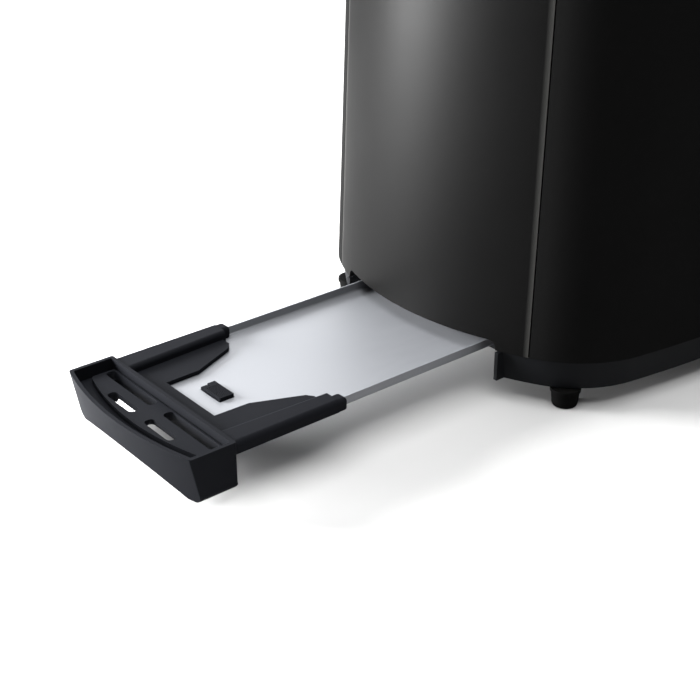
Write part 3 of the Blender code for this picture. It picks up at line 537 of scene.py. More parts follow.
def paintSeamHighlight(panel):
    # marks the rounded edges beside the two seams, where the painted seam highlight goes
    marks = panel.data.attributes.new("paintedSeamHighlight", "FLOAT", "POINT")
    for vert, mark in zip(panel.data.vertices, marks.data):
        seam = seamHalf - shell["seamLean"] * (vert.co.z - wallBottom)
        spot = Vector((abs(vert.co.x - centreX), abs(vert.co.y), 0))
        skinRadius = shell["endRadius"] - wallInset(vert.co.z)
        outer = (spot - endCentre).length > skinRadius - shell["edge"] * 0.9
        mark.value = float(outer and -shell["edge"] * 0.9 < spot.y - seam < shell["edge"])


# ---- end panels and side shells

print("end panels")

beyond = 0.02  # how far a cutter runs on past what it cuts
doorway = {"clearance": 0.0036, "rise": 0.0010, "corner": 0.0030}
carrierLow, carrierHigh = cadBoxOf("tray_carrier")
panLow, panHigh = cadBoxOf("crumb_tray_pan")
pocketHalf = carrierHigh.y + doorway["clearance"]
pocketTop = carrierHigh.z + doorway["rise"]

trayPanel = endPanel("trayEndPanel", -1)
carve(
    trayPanel,
    roundedBlocks(
        doorway["corner"], 0,
        ((-halfLength - beyond, -pocketHalf, -pocketTop), (-halfLength / 2, pocketHalf, pocketTop)),
    ),
)
soften(trayPanel, shell["edge"])
# paints the pale seam highlight onto the panel's rounded seam edges
paintSeamHighlight(trayPanel)
dress(trayPanel, "housing", "satin_black_plastic", "tray_end_panel")

control = {
    "slotClearance": 0.002,
    "knobClearance": 0.0006,
    "buttonClearance": 0.0003,
    "buttonCorner": 0.0020,
    "slotRound": 0.0016,
}
leverPanel = endPanel("leverEndPanel", 1)
armLow, armHigh = cadBoxOf("lever_arm")
leverTravel = -[j for j in frame["joints"] if j["name"] == "lever_slide"][0]["range_m"][0]
clear = control["slotClearance"]
carve(
    leverPanel,
    roundedBlocks(
        control["slotRound"], 0,
        ((0, armLow.y - clear, armLow.z - leverTravel - clear),
         (halfLength + beyond, armHigh.y + clear, armHigh.z + clear)),
    ),
)
dialLow, dialHigh = cadBoxOf("browning_knob")
dialRadius = (dialHigh.z - dialLow.z) / 2
dialCentre = (dialLow + dialHigh) / 2
carve(
    leverPanel,
    rod(
        dialRadius + control["knobClearance"],
        (halfLength / 2, dialCentre.y, dialCentre.z), (halfLength + beyond, dialCentre.y, dialCentre.z),
        steps=96,
    ),
)
buttonNames = ("cancel_button", "reheat_button", "defrost_button")
capFlange = 0.0012  # how far a cap's flange reaches past it, behind the panel


def capBox(node):
    low, high = cadBoxOf(node)
    inset = Vector((0, capFlange, capFlange))
    return low + inset, high - inset


for node in buttonNames:
    low, high = capBox(node)
    clear = control["buttonClearance"]
    carve(
        leverPanel,
        roundedBlocks(
            control["buttonCorner"] + clear, 0,
            ((0, low.y - clear, low.z - clear), (halfLength + beyond, high.y + clear, high.z + clear)),
        ),
    )
soften(leverPanel, shell["edge"])
# paints the pale seam highlight onto the panel's rounded seam edges
paintSeamHighlight(leverPanel)
dress(leverPanel, "housing", "satin_black_plastic", "lever_end_panel")

for name, side, node in (
    ("leftSideShell", 1, "side_shell_left"), ("rightSideShell", -1, "side_shell_right"),
):
    bm = wallSkin()
    cutAtSeam(bm, side, shell["seamGap"], True)
    sideShell = newPiece(name, bm, dullShell)
    thicken(sideShell, shell["wall"])
    soften(sideShell, shell["edge"])
    dress(sideShell, "housing", "shell_black_plastic", node)

# ---- top cover and slot collars

print("top cover")

cover = {
    "shoulder": 0.011, "steps": 12, "upstand": 0.15, "gap": 0.0003, "slotCorner": 0.0030, "lip": 0.0015,
    "edge": 0.0005,
}
collar = {
    "sheet": 0.0007, "lipWidth": 0.0018, "rise": 0.00048, "roll": 0.0005, "corner": 0.0027, "start": 0.00028,
}
coverTop = cadBoxOf("top_cover")[1].z - cover["lip"]
coverStart = wallTop + cover["gap"]
bm = bmesh.new()
edges = outlineLoop(bm, wallInset(wallTop), coverStart)
rise = coverTop - coverStart
height = drawn = 0
for i in range(cover["steps"] + 1):
    angle = math.pi / 2 * i / cover["steps"]
    nextHeight = rise * (cover["upstand"] + (1 - cover["upstand"]) * math.sin(angle))
    nextDrawn = cover["gap"] + cover["shoulder"] * (1 - math.cos(angle))
    edges = liftLoop(bm, edges, nextHeight - height, nextDrawn - drawn)
    height, drawn = nextHeight, nextDrawn
bmesh.ops.contextual_create(bm, geom=edges)
faceOut(bm)
topCover = newPiece("topCover", bm, satinShell)
thicken(topCover, shell["wall"])
throatBoxes = [cadBoxOf(node) for node in ("slot_throat_left", "slot_throat_right")]
gap = cover["gap"]
carve(
    topCover,
    roundedBlocks(
        cover["slotCorner"], 2,
        *[
            ((low.x - gap, low.y - gap, low.z), (high.x + gap, high.y + gap, high.z + beyond))
            for low, high in throatBoxes
        ],
    ),
)
soften(topCover, cover["edge"])
dress(topCover, "housing", "satin_black_plastic", "top_cover")


def slotCollar(name, low, high):
    # a sheet sleeve with its top edge rolled out over the cover
    top = coverTop + collar["start"]
    bm = roundedBlocks(collar["corner"], 2, ((low.x, low.y, low.z), (high.x, high.y, top)))
    ends = [f for f in bm.faces if abs(f.normal.z) > 0.9]
    bmesh.ops.delete(bm, geom=ends, context="FACES_ONLY")
    edges = [e for e in bm.edges if all(v.co.z > top - 1e-6 for v in e.verts)]
    middle = (low + high) / 2
    half = (high - low) / 2
    core = Vector((half.x - collar["corner"], half.y - collar["corner"]))
    for share, up in ((0.3, collar["rise"]), (0.5, 0), (0.2, -collar["roll"])):
        made = bmesh.ops.extrude_edge_only(bm, edges=edges)["geom"]
        verts = set(vertsOf(made))
        for vert in verts:
            away = vert.co - middle
            past = Vector([
                math.copysign(max(abs(distance) - limit, 0), distance)
                for distance, limit in zip(away.xy, core)
            ]).normalized()
            out = past * collar["lipWidth"] * share
            vert.co += Vector((out.x, out.y, up))
        edges = [
            g for g in made if isinstance(g, bmesh.types.BMEdge) and all(v in verts for v in g.verts)
        ]
    evenFaces(bm)
    face = max(bm.faces, key=lambda f: f.calc_area())
    if face.normal.dot(face.calc_center_median() - middle) < 0:
        bmesh.ops.reverse_faces(bm, faces=bm.faces)
    piece = newPiece(name, bm, collarSteel)
    thicken(piece, collar["sheet"])
    smooth(piece, 50)
    return piece


for side, corners in zip(("left", "right"), throatBoxes):
    piece = slotCollar(side + "SlotCollar", *corners)
    dress(piece, "housing", "zinc_plated_steel", "slot_throat_" + side)

# ---- base, feet and screws

print("base")

base = {
    "recess": 0.0015,
    "draft": 0.0022,
    "wall": 0.0022,
    "gap": 0.0003,
    "edge": 0.0009,
    "ribWidth": 0.0022,
    "ventCount": 7,
    "ventPitch": 0.012,
    "ventLength": 0.020,
    "ventWidth": 0.0036,
    "pocketWall": 0.0018,
    "pocketSpare": 0.002,
    "pocketStart": 0.0085,
    "railSetback": 0.0085,
    "railClearance": 0.0002,
    "rest": 0.007,
    "ventOut": 0.024,
    "screwHole": 0.0019,
}
baseLow, baseHigh = cadBoxOf("base")
skirtTop = wallBottom - base["gap"]
bm = bmesh.new()
edges = outlineLoop(bm, base["recess"] + base["draft"], baseLow.z)
bmesh.ops.contextual_create(bm, geom=edges)
liftLoop(bm, edges, skirtTop - baseLow.z, -base["draft"])
faceOut(bm)
baseTub = newPiece("baseTub", bm, basePlastic)
thicken(baseTub, base["wall"])
handleDepth = 0.0256
pocketRear = -halfLength + handleDepth + base["pocketSpare"]
pocketWall = base["pocketWall"]
walls = bothSides(
    (-halfLength + base["pocketStart"], pocketHalf, baseLow.z + 0.0002),
    (pocketRear + pocketWall, pocketHalf + pocketWall, skirtTop - 0.0004),
)
carve(baseTub, blocks(*walls), "UNION")
carve(
    baseTub,
    roundedBlocks(
        doorway["corner"] * 0.5, 2,
        ((-halfLength - 0.03, -pocketHalf, -0.01), (pocketRear, pocketHalf, skirtTop + 0.02)),
    ),
)
railStart = pocketRear + base["railSetback"]
railStop = pocketRear + (panHigh.x - panLow.x)
floorTop = baseLow.z + base["wall"] - 0.0005
guideY = carrierHigh.y + base["railClearance"]
restY = panHigh.y - base["rest"]
carve(
    baseTub,
    blocks(
        *bothSides((railStart, guideY, floorTop), (railStop, guideY + base["ribWidth"], baseHigh.z)),
        *bothSides(
            (railStart, restY, floorTop), (railStop, restY + base["ribWidth"], panLow.z - base["gap"])
        ),
    ),
    "UNION",
)
ventRows = []
for sign in (-1, 1):
    for i in range(base["ventCount"]):
        x = (i - (base["ventCount"] - 1) / 2) * base["ventPitch"]
        y = sign * (pocketHalf + base["ventOut"])
        ventRows.append(
            (
                (x - base["ventWidth"] / 2, y - base["ventLength"] / 2, 0),
                (x + base["ventWidth"] / 2, y + base["ventLength"] / 2, floorTop + 0.004),
            )
        )
carve(baseTub, roundedBlocks(base["ventWidth"] * 0.48, 2, *ventRows, segments=4))
glandLow, glandHigh = cadBoxOf("cord_gland")
glandCentre = (glandLow + glandHigh) / 2
glandRadius = (glandHigh.z - glandLow.z) / 2
carve(
    baseTub,
    rod(
        glandRadius + base["gap"],
        (halfLength - 0.03, glandCentre.y, glandCentre.z),
        (halfLength + 0.01, glandCentre.y, glandCentre.z), 48,
    ),
)
screwBoxes = [cadBoxOf(f"base_screw_{i}") for i in (1, 2, 3, 4)]
for low, high in screwBoxes:
    x, y = ((low + high) / 2).xy
    carve(baseTub, rod(base["screwHole"], (x, y, 0), (x, y, floorTop + 0.006), 24))
soften(baseTub, base["edge"] * 0.6, 2, 40)
dress(baseTub, "housing", "black_plastic", "base")

foot = {"tread": 0.0009, "collar": 0.0006, "hollow": 0.0012, "taper": 0.001}
for name, node in (
    ("footTrayEndRight", "foot_tray_end_right"), ("footTrayEndLeft", "foot_tray_end_left"),
    ("footLeverEndRight", "foot_lever_end_right"), ("footLeverEndLeft", "foot_lever_end_left"),
):
    low, high = cadBoxOf(node)
    topRadius = (high.x - low.x) / 2
    bottomRadius = topRadius - foot["taper"]
    top = high.z
    tread = foot["tread"]
    profile = [
        (0, foot["hollow"]),
        (bottomRadius * 0.45, foot["hollow"]),
        (bottomRadius * 0.55, 0),
        (bottomRadius - tread, 0),
        (bottomRadius - tread * 0.3, tread * 0.3),
        (bottomRadius, tread),
        (topRadius - foot["collar"], top - 0.0022),
        (topRadius - foot["collar"], top - 0.0018),
        (topRadius, top - 0.0015),
        (topRadius, top),
        (0, top),
    ]
    bm = moved(turned(profile), *((low + high) / 2).xy)
    piece = newPiece(name, bm, footRubber)
    smooth(piece, 40)
    dress(piece, "housing", "rubber", node)

screw = {
    "shank": 0.0016, "headRound": 0.0006, "recessWidth": 0.0009, "recessLength": 0.0036,
    "recessDepth": 0.0010,
}
for i, (low, high) in enumerate(screwBoxes):
    radius = (high.x - low.x) / 2
    shank = screw["shank"]
    headTop = baseLow.z - base["gap"]
    profile = [
        (0, low.z),
        (radius - screw["headRound"], low.z),
        (radius, low.z + screw["headRound"]),
        (radius, headTop),
        (shank, headTop),
        (shank, high.z - 0.001),
        (shank * 0.4, high.z),
        (0, high.z),
    ]
    x, y = ((low + high) / 2).xy
    piece = newPiece(f"baseScrew{i + 1}", moved(turned(profile, 32), x, y), zincSteel)
    wide, long, deep = screw["recessWidth"] / 2, screw["recessLength"] / 2, screw["recessDepth"]
    for across, along in ((wide, long), (long, wide)):
        carve(piece, blocks(((x - across, y - along, 0), (x + across, y + along, low.z + deep))))
    smooth(piece, 30)
    dress(piece, "housing", "zinc_plated_steel", f"base_screw_{i + 1}")

# ---- the crumb tray

print("crumb tray")

handle = {
    "setback": 0.0,
    "depth": handleDepth,
    "half": 0.0421,
    "bow": 0.147,
    "low": carrierLow.z,
    "top": 0.0246,
    "draft": 0.0036,
    "rim": 0.0016,
    "recess": 0.0033,
    "wall": 0.0018,
    "opening": 0.0125,
    "end": 0.0026,
    "arch": 0.008,
    "archMargin": 0.006,
    "footRound": 0.0030,
    "cornerRound": 0.0009,
    "innerRound": 0.0006,
}
deck = {
    "setback": 0.0022,
    "depth": 0.0160,
    "half": 0.0375,
    "bow": 0.125,
    "thickness": 0.0022,
    "floor": 0.0014,
    "slotStart": 0.0042,
    "slots": ((0.0029, 0.0072, 0.0364), (0.0113, 0.0154, 0.0218)),
    "cornerRound": 0.0012,
}
arm = {
    "reach": 0.0515,
    "step": 0.0045,
    "stepY": 0.0350,
    "bottom": 0.0190,
    "outer": 0.0413,
    "inner": 0.0315,
    "taper": 0.0012,
    "top": 0.0240,
    "innerRound": 0.0018,
    "outerRound": 0.0019,
    "crossbar": 0.0080,
    "flangeLow": 0.0191,
    "flangeTop": 0.0207,
    "flangeInner": 0.0162,
    "flangeEnd": ((0.0060, 0.0118), (0.0080, 0.0090)),
    "flangeBend": (0.45, 0.0004),
    "tipRound": 0.0018,
    "edge": 0.00035,
}
latch = {
    "setback": 0.0172,
    "depth": 0.0064,
    "half": 0.0064,
    "top": 0.0203,
    "root": 0.024,
    "tongue": 0.0020,
    "ribs": 9,
    "ribDepth": 0.00035,
    "stepLength": 0.0030,
    "stepWidth": 0.0022,
    "stepDepth": 0.0005,
}
panSheet = 0.0006
panFold = 0.0014
panGap = 0.0003  # between the pan and what holds it
trayRear = carrierLow.x + handle["depth"]


def closeAndRaise(bm, places, first, last, rise):
    # closes an arc with two corners, fills it and pushes it up
    corners = [bm.verts.new(place) for place in places]
    for pair in ((first, corners[0]), (last, corners[1]), corners):
        bm.edges.new(pair)
    face = bmesh.ops.contextual_create(bm, geom=list(bm.edges))["faces"]
    made = bmesh.ops.extrude_face_region(bm, geom=face)["geom"]
    bmesh.ops.translate(bm, verts=vertsOf(made), vec=(0, 0, rise))
    evenFaces(bm)


def bowedBlock(form, inset, low, high, draft=0.0, cornerRound=0.0, footRound=0.0):
    # seen from above: a straight rear edge, straight ends and a bowed front
    rear = trayRear - form["setback"]
    centre = rear - form["depth"] + form["bow"]
    half = form["half"] - inset
    reach = form["bow"] - inset
    turn = math.asin(half / reach)
    bm = bmesh.new()
    first = bm.verts.new((centre - reach * math.cos(turn), -half, low))
    spun = bmesh.ops.spin(
        bm, geom=[first], cent=(centre, 0, 0), axis=(0, 0, 1), angle=-2 * turn, steps=32,
        use_merge=False,
    )
    last = vertsOf(spun["geom_last"])[0]
    closeAndRaise(bm, [(rear - inset, v.co.y, low) for v in (first, last)], first, last, high - low)
    for radius, chosen in (
        (footRound, lambda e: all(v.co.z < low + 1e-6 for v in e.verts)
         and all(abs(v.co.y) > half - 1e-6 for v in e.verts)),
        (cornerRound, lambda e: abs(e.verts[0].co.z - e.verts[1].co.z) > (high - low) / 2
         and e.calc_face_angle() > 0.5),
    ):
        if radius:
            roundEdges(bm, [e for e in bm.edges if chosen(e)], radius, 5)
    for vert in bm.verts:
        fromRear = (rear - vert.co.x) / form["depth"]
        sunk = (high - vert.co.z) / (high - low)
        vert.co.x += draft * sunk * min(max(fromRear * 2, 0), 1)
    return bm


recessFloor = handle["top"] - handle["recess"]
trough = recessFloor - deck["thickness"]
ceiling = trough - deck["floor"]
bm = bowedBlock(
    handle, 0, handle["low"], handle["top"], handle["draft"], handle["cornerRound"], handle["footRound"]
)
carrier = newPiece("trayCarrier", bm, trayPlastic)
innerRound = handle["innerRound"]
carve(carrier, bowedBlock(handle, handle["rim"], trough, handle["top"] + 0.003, 0, innerRound))
slope = handle["draft"] / (handle["top"] - handle["low"])
under = handle["low"] - 0.002
carve(
    carrier,
    bowedBlock(handle, handle["wall"], under, ceiling, slope * (ceiling - under), innerRound),
)
carve(carrier, bowedBlock(deck, 0, ceiling + 0.0002, recessFloor, 0, deck["cornerRound"]), "UNION")
carve(carrier, bowedBlock(deck, deck["thickness"], ceiling - 0.001, trough))
for near, far, end in deck["slots"]:
    start, stop = (trayRear - far, deck["slotStart"], 0), (trayRear - near, end, handle["top"] + 0.01)
    for corners in bothSides(start, stop):
        carve(carrier, roundedBlocks((far - near) * 0.42, 2, corners))
span = handle["half"] - handle["archMargin"]
archRadius = (span**2 + handle["arch"] ** 2) / (2 * handle["arch"])
archLow = handle["low"] + handle["arch"] - archRadius
carve(carrier, rod(archRadius, (trayRear - 0.05, 0, archLow), (trayRear - 0.004, 0, archLow), 160))

across = handle["half"] - handle["end"]
carve(
    carrier,
    blocks(((trayRear - handle["wall"] * 2, -across, 0), (trayRear + 0.01, across, handle["opening"]))),
)

tip = trayRear + arm["reach"]
# the pieces that are joined on overlap by slip, so that no two of their faces lie in one plane
slip = 0.0001
panFront = trayRear + arm["crossbar"]
plateSide = arm["outer"] - 4 * slip
flange = [(tip - arm["flangeEnd"][0][0], plateSide)]
flange += [(tip - back, arm["flangeInner"] + out) for back, out in arm["flangeEnd"]]
bendShare, bendOut = arm["flangeBend"]
flange += [
    (trayRear + arm["reach"] * bendShare, arm["flangeInner"] + bendOut),
    (panFront, arm["flangeInner"]),
]
outline = [(trayRear - 0.0010, plateSide)] + flange
outline += [(x, -y) for x, y in reversed(outline)]
carve(carrier, pushedOut(outline, arm["flangeLow"] - 3 * slip, arm["flangeTop"]), "UNION")
carve(
    carrier,
    blocks(
        ((trayRear - 0.0012, -plateSide - slip, arm["bottom"] + slip),
         (panFront - slip / 2, plateSide + slip, arm["flangeTop"] - 3 * slip))
    ),
    "UNION",
)
heelHalf = latch["root"] / 2
tongueTop = panLow.z - panGap
tongueLow = tongueTop - latch["tongue"]
carve(
    carrier,
    blocks(((trayRear - 0.0009, -heelHalf, tongueLow), (panFront - 3 * slip, heelHalf, arm["flangeLow"]))),
    "UNION",
)
for sign in (1, -1):
    rail = blocks(
        ((trayRear - 0.0006, arm["inner"], arm["bottom"]), (tip - arm["step"], arm["outer"], arm["top"]))
    )
    for radius, place in ((arm["innerRound"], arm["inner"]), (arm["outerRound"], arm["outer"])):
        edges = [
            e for e in rail.edges
            if all(abs(v.co.y - place) < 1e-6 and v.co.z > arm["flangeTop"] for v in e.verts)
        ]
        roundEdges(rail, edges, radius, 8)
    for vert in rail.verts:
        if vert.co.y < (arm["inner"] + arm["outer"]) / 2:
            vert.co.y += arm["taper"] * ((vert.co.x - trayRear) / arm["reach"] * 2 - 1)
    cap = blocks(
        ((trayRear + 0.0200, arm["stepY"], arm["bottom"] + slip),
         (tip, arm["outer"] - slip, arm["top"] - 3 * slip))
    )
    edges = [
        e for e in cap.edges
        if all(v.co.z > arm["flangeTop"] for v in e.verts) or all(v.co.x > tip - 1e-6 for v in e.verts)
    ]
    roundEdges(cap, edges, arm["tipRound"], 6)
    for bm in (rail, cap):
        if sign < 0:
            bmesh.ops.scale(bm, verts=bm.verts, vec=(1, -1, 1))
            bmesh.ops.reverse_faces(bm, faces=bm.faces)
        carve(carrier, bm, "UNION")
carve(
    carrier,
    blocks(
        ((panFront + slip / 4, -panHigh.y - panGap, 0), (tip + 0.01, panHigh.y + panGap, arm["flangeLow"]))
    ),
)
carve(
    carrier,
    blocks(
        *bothSides(
            (panFront + slip / 2, panHigh.y - panSheet - panGap, arm["flangeLow"] - 0.001),
            (tip + beyond, panHigh.y + 0.0002, panHigh.z + panGap),
        )
    ),
)
hookStart = trayRear + latch["setback"]
hookStop = hookStart + latch["depth"]
carve(
    carrier,
    blocks(
        ((panFront - 0.002, -latch["half"] + slip, tongueLow + slip),
         (hookStop - slip, latch["half"] - slip, tongueTop))
    ),
    "UNION",
)
carve(
    carrier,
    blocks(((hookStart, -latch["half"], tongueTop - 0.001), (hookStop, latch["half"], latch["top"]))),
    "UNION",
)
# a lower step at one end of the hook, and fine grip ribs along its top
ribPitch = (latch["depth"] - 0.0008) / latch["ribs"]
latchEnd, latchTop = latch["half"], latch["top"]
grip = [
    ((hookStart - 0.001, latchEnd - latch["stepWidth"], latchTop - latch["stepDepth"]),
     (hookStart + latch["stepLength"], latchEnd + 0.001, latchTop + 0.001))
]
for i in range(latch["ribs"]):
    ribStart = hookStart + 0.0006 + i * ribPitch
    grip.append(
        ((ribStart, -latchEnd + 0.0005, latchTop - latch["ribDepth"]),
         (ribStart + 0.45 * ribPitch, latchEnd - 0.0028, latchTop + 0.001))
    )
carve(carrier, blocks(*grip))
soften(carrier, arm["edge"], 2, 38)
dress(carrier, "crumb_tray", "tray_plastic", "tray_carrier")

bm = blocks(((panLow.x, panLow.y, panLow.z), (panHigh.x, panHigh.y, panHigh.z)))
gone = [f for f in bm.faces if f.normal.z > 0.5 or f.normal.x < -0.5]
bmesh.ops.delete(bm, geom=gone, context="FACES")
folds = [e for e in bm.edges if not e.is_boundary]
roundEdges(bm, folds, panFold, 5)
pan = newPiece("crumbPan", bm, panSteel)
thicken(pan, panSheet)
carve(
    pan,
    roundedBlocks(
        0.0005, 2,
        ((hookStart - panGap, -latchEnd - panGap, 0), (hookStop + panGap, latchEnd + panGap, 0.03)),
    ),
)
soften(pan, 0.00012, 2, 40)
dress(pan, "crumb_tray", "tray_metal", "crumb_tray_pan")

# ---- the controls

print("controls")

lever = {
    "round": 0.0030, "bow": 0.25, "rearShare": 0.8, "ribs": 5, "ribStart": 0.0035, "ribPitch": 0.0021,
    "ribDepth": 0.0005, "ribShare": 0.62,
}
leverLow, leverHigh = cadBoxOf("lever_knob")
leverDepth = leverHigh.x - leverLow.x
leverHalf = leverHigh.y
bm = bmesh.new()
sag = leverDepth * lever["bow"]
bowRadius = (leverHalf**2 + sag**2) / (2 * sag)
first = bm.verts.new((leverHigh.x - sag, -leverHalf, leverLow.z))
spun = bmesh.ops.spin(
    bm, geom=[first], cent=(leverHigh.x - bowRadius, 0, 0), axis=(0, 0, 1),
    angle=2 * math.asin(leverHalf / bowRadius), steps=24, use_merge=False,
)
last = vertsOf(spun["geom_last"])[0]
rearHalf = leverHalf * lever["rearShare"]
corners = [(leverLow.x, math.copysign(rearHalf, v.co.y), leverLow.z) for v in (first, last)]
closeAndRaise(bm, corners, first, last, leverHigh.z - leverLow.z)
leverKnob = newPiece("leverKnob", bm, knobPlastic)
soften(leverKnob, lever["round"], 6, 25)
leverKnob.modifiers.clear()
ribs = []
for i in range(lever["ribs"]):
    x = leverHigh.x - sag - lever["ribStart"] - i * lever["ribPitch"]
    reach = leverHalf * lever["ribShare"]
    ribs.append(
        ((x, -reach, leverHigh.z - lever["ribDepth"]),
         (x + lever["ribPitch"] * 0.45, reach, leverHigh.z + 0.01))
    )
carve(leverKnob, roundedBlocks(0.00035, 2, *ribs))
around = Vector((0.0003, 0.0003, 0.0003))
socketLow = armLow - around
carve(leverKnob, blocks(((leverLow.x - 0.01, socketLow.y, socketLow.z), armHigh + around)))
smooth(leverKnob, 30)
dress(leverKnob, "lift", "knob_plastic", "lever_knob")

dial = {
    "flutes": 36, "fluteRadius": 0.00045, "edge": 0.0012, "dish": 0.0011, "skirt": 0.0035,
    "bore": 0.0033, "boreDepth": 0.0083,
}
dialLength = dialHigh.x - dialLow.x
profile = [
    (0, dialLength - dial["dish"]),
    (dialRadius * 0.60, dialLength - dial["dish"] * 0.8),
    (dialRadius * 0.78, dialLength),
    (dialRadius - dial["edge"], dialLength),
    (dialRadius - dial["edge"] * 0.3, dialLength - dial["edge"] * 0.3),
    (dialRadius, dialLength - dial["edge"]),
    (dialRadius, 0),
    (dial["bore"], 0),
    (dial["bore"], dial["boreDepth"]),
    (0, dial["boreDepth"]),
]
bm = layOnX(turned(profile, 96), Vector((dialLow.x, dialCentre.y, dialCentre.z)))
browningKnob = newPiece("browningKnob", bm, knobPlastic)
grooves = bmesh.new()
for i in range(dial["flutes"]):
    angle = 2 * math.pi * i / dial["flutes"]
    made = bmesh.ops.create_cone(
        grooves, cap_ends=True, segments=8, radius1=dial["fluteRadius"], radius2=dial["fluteRadius"],
        depth=dialLength,
        matrix=Matrix.Translation(
            (dialLow.x + dialLength / 2 + dial["skirt"],
             dialCentre.y + dialRadius * math.cos(angle), dialCentre.z + dialRadius * math.sin(angle))
        ) @ Matrix.Rotation(math.pi / 2, 4, "Y"),
    )
carve(browningKnob, grooves)
carve(
    browningKnob,
    blocks(
        ((dialHigh.x - 0.0006, dialCentre.y - 0.0006, dialCentre.z + dialRadius * 0.30),
         (dialHigh.x + 0.01, dialCentre.y + 0.0006, dialCentre.z + dialRadius * 0.92))
    ),
)
smooth(browningKnob, 30)
dress(browningKnob, "browning_knob", "knob_plastic", "browning_knob")
bm = blocks(
    ((dialHigh.x - 0.0009, dialCentre.y - 0.00055, dialCentre.z + dialRadius * 0.31),
     (dialHigh.x - 0.0002, dialCentre.y + 0.00055, dialCentre.z + dialRadius * 0.91))
)
dress(newPiece("browningPointer", bm, paleInk), "browning_knob", "knob_plastic")

print("dial marks")
marks = {
    "count": 6, "sweep": 130, "inner": 0.0152, "outer": 0.0176, "width": 0.0007, "figures": 0.0202,
    "size": 0.0032, "proud": 0.00006,
}
markAngles = [
    math.radians(90 + marks["sweep"] - 2 * marks["sweep"] * i / (marks["count"] - 1))
    for i in range(marks["count"])
]


def overPanel(name, bm):
    # a printed mark: what a bar through the panel's face leaves of a skin over that face
    skin = wallSkin()
    for side in (1, -1):
        cutAtSeam(skin, side, -0.002, False)
    bmesh.ops.bisect_plane(
        skin, geom=allOf(skin), dist=1e-7,
        plane_co=(halfLength / 2, 0, 0), plane_no=(1, 0, 0), clear_inner=True,
    )
    for vert in skin.verts:
        vert.co += outward(vert.co.x, vert.co.y) * marks["proud"]
    piece = newPiece(name, skin, paleInk)
    thicken(piece, marks["proud"] * 3)
    carve(piece, bm, "INTERSECT")
    dress(piece, "housing", "satin_black_plastic")


bars = bmesh.new()
halfMark = marks["width"] / 2
for angle in markAngles:
    made = block(
        bars, (halfLength - 0.03, marks["inner"], -halfMark), (halfLength + 0.01, marks["outer"], halfMark)
    )
    bmesh.ops.rotate(bars, verts=made, cent=(0, 0, 0), matrix=Matrix.Rotation(angle, 3, "X"))
    bmesh.ops.translate(bars, verts=made, vec=(0, dialCentre.y, dialCentre.z))
overPanel("dialMarks", bars)

figures = bmesh.new()
for i, angle in enumerate(markAngles):
    curve = bpy.data.curves.new("figure", "FONT")
    curve.body = str(i + 1)
    curve.size = marks["size"]
    curve.align_x = "CENTER"
    curve.align_y = "CENTER"
    curve.extrude = 0.02
    curve.resolution_u = 4
    text = addObject("figure", curve)
    mesh = bpy.data.meshes.new_from_object(text.evaluated_get(bpy.context.evaluated_depsgraph_get()))
    turn = Matrix(((0, 0, 1), (1, 0, 0), (0, 1, 0))).to_4x4()  # reads upright from the lever end
    out = marks["figures"]
    place = Vector(
        (halfLength - 0.01, dialCentre.y + out * math.cos(angle), dialCentre.z + out * math.sin(angle))
    )
    mesh.transform(Matrix.Translation(place) @ turn)
    figures.from_mesh(mesh)
    bpy.data.objects.remove(text)
    bpy.data.curves.remove(curve)
    bpy.data.meshes.remove(mesh)
bmesh.ops.remove_doubles(figures, verts=figures.verts, dist=1e-6)
overPanel("dialFigures", figures)

button = {"round": 0.0009, "proud": 0.0013, "flange": 0.0011}
for node in buttonNames:
    low, high = capBox(node)
    flangeLow, flangeHigh = cadBoxOf(node)
    bm = roundedBlocks(control["buttonCorner"], 0, ((low.x, low.y, low.z), (high.x, high.y, high.z)))
    # the cap's face slopes with the panel
    for vert in bm.verts:
        if vert.co.x > (low.x + high.x) / 2:
            vert.co.x = panelX(vert.co.y, (low.z + high.z) / 2) + button["proud"]
    cap = newPiece(node.replace("_button", "ButtonCap"), bm, knobPlastic)
    soften(cap, button["round"], 4, 40)
    cap.modifiers.clear()
    flangeHigh.x = flangeLow.x + button["flange"]
    carve(cap, blocks((flangeLow, flangeHigh)), "UNION")
    smooth(cap, 30)
    dress(cap, node, "knob_plastic", node)

# ---- what shows through the bread slots

print("heaters and guides")

heater = {
    "wraps": 15, "ribbonWidth": 0.0016, "ribbonThick": 0.00016, "slant": 0.0032, "margin": 0.007,
    "notchDepth": 0.0015, "notchHalf": 0.0014,
}
for name in ("left", "centre", "right"):
    node = "heater_card_" + name
    low, high = cadBoxOf(node)
    pitch = (high.z - low.z - 2 * heater["margin"]) / heater["wraps"]
    card = newPiece(name + "MicaCard", blocks((low, high)), mica)
    notches = []
    levels = [low.z + heater["margin"] + (i + 0.5) * pitch for i in range(heater["wraps"])]
    ends = low.x + heater["notchDepth"], high.x - heater["notchDepth"]
    tall = heater["notchHalf"]
    for z in levels:
        for x0, x1 in ((low.x - 0.01, ends[0]), (ends[1], high.x + 0.01)):
            notches.append(((x0, low.y - 0.01, z - tall), (x1, high.y + 0.01, z + tall)))
    carve(card, blocks(*notches))
    dress(card, "housing", "mica", node)
    bm = bmesh.new()
    thick = heater["ribbonThick"]
    half = heater["ribbonWidth"] / 2
    for z in levels:
        for y0, lean in ((low.y - thick, -1), (high.y, 1)):
            made = block(bm, (ends[0], y0, z - half), (ends[1], y0 + thick, z + half))
            if lean > 0:
                for vert in made:
                    vert.co.z += heater["slant"] * (vert.co.x - ends[0]) / (ends[1] - ends[0])
        for x in ends:
            lift = 0 if x == ends[0] else heater["slant"] / 2
            block(
                bm, (x - thick, low.y - thick, z - half + lift),
                (x + thick, high.y + thick, z + half + lift),
            )
    dress(newPiece(name + "HeatingRibbon", bm, ribbonAlloy), "housing", "zinc_plated_steel")

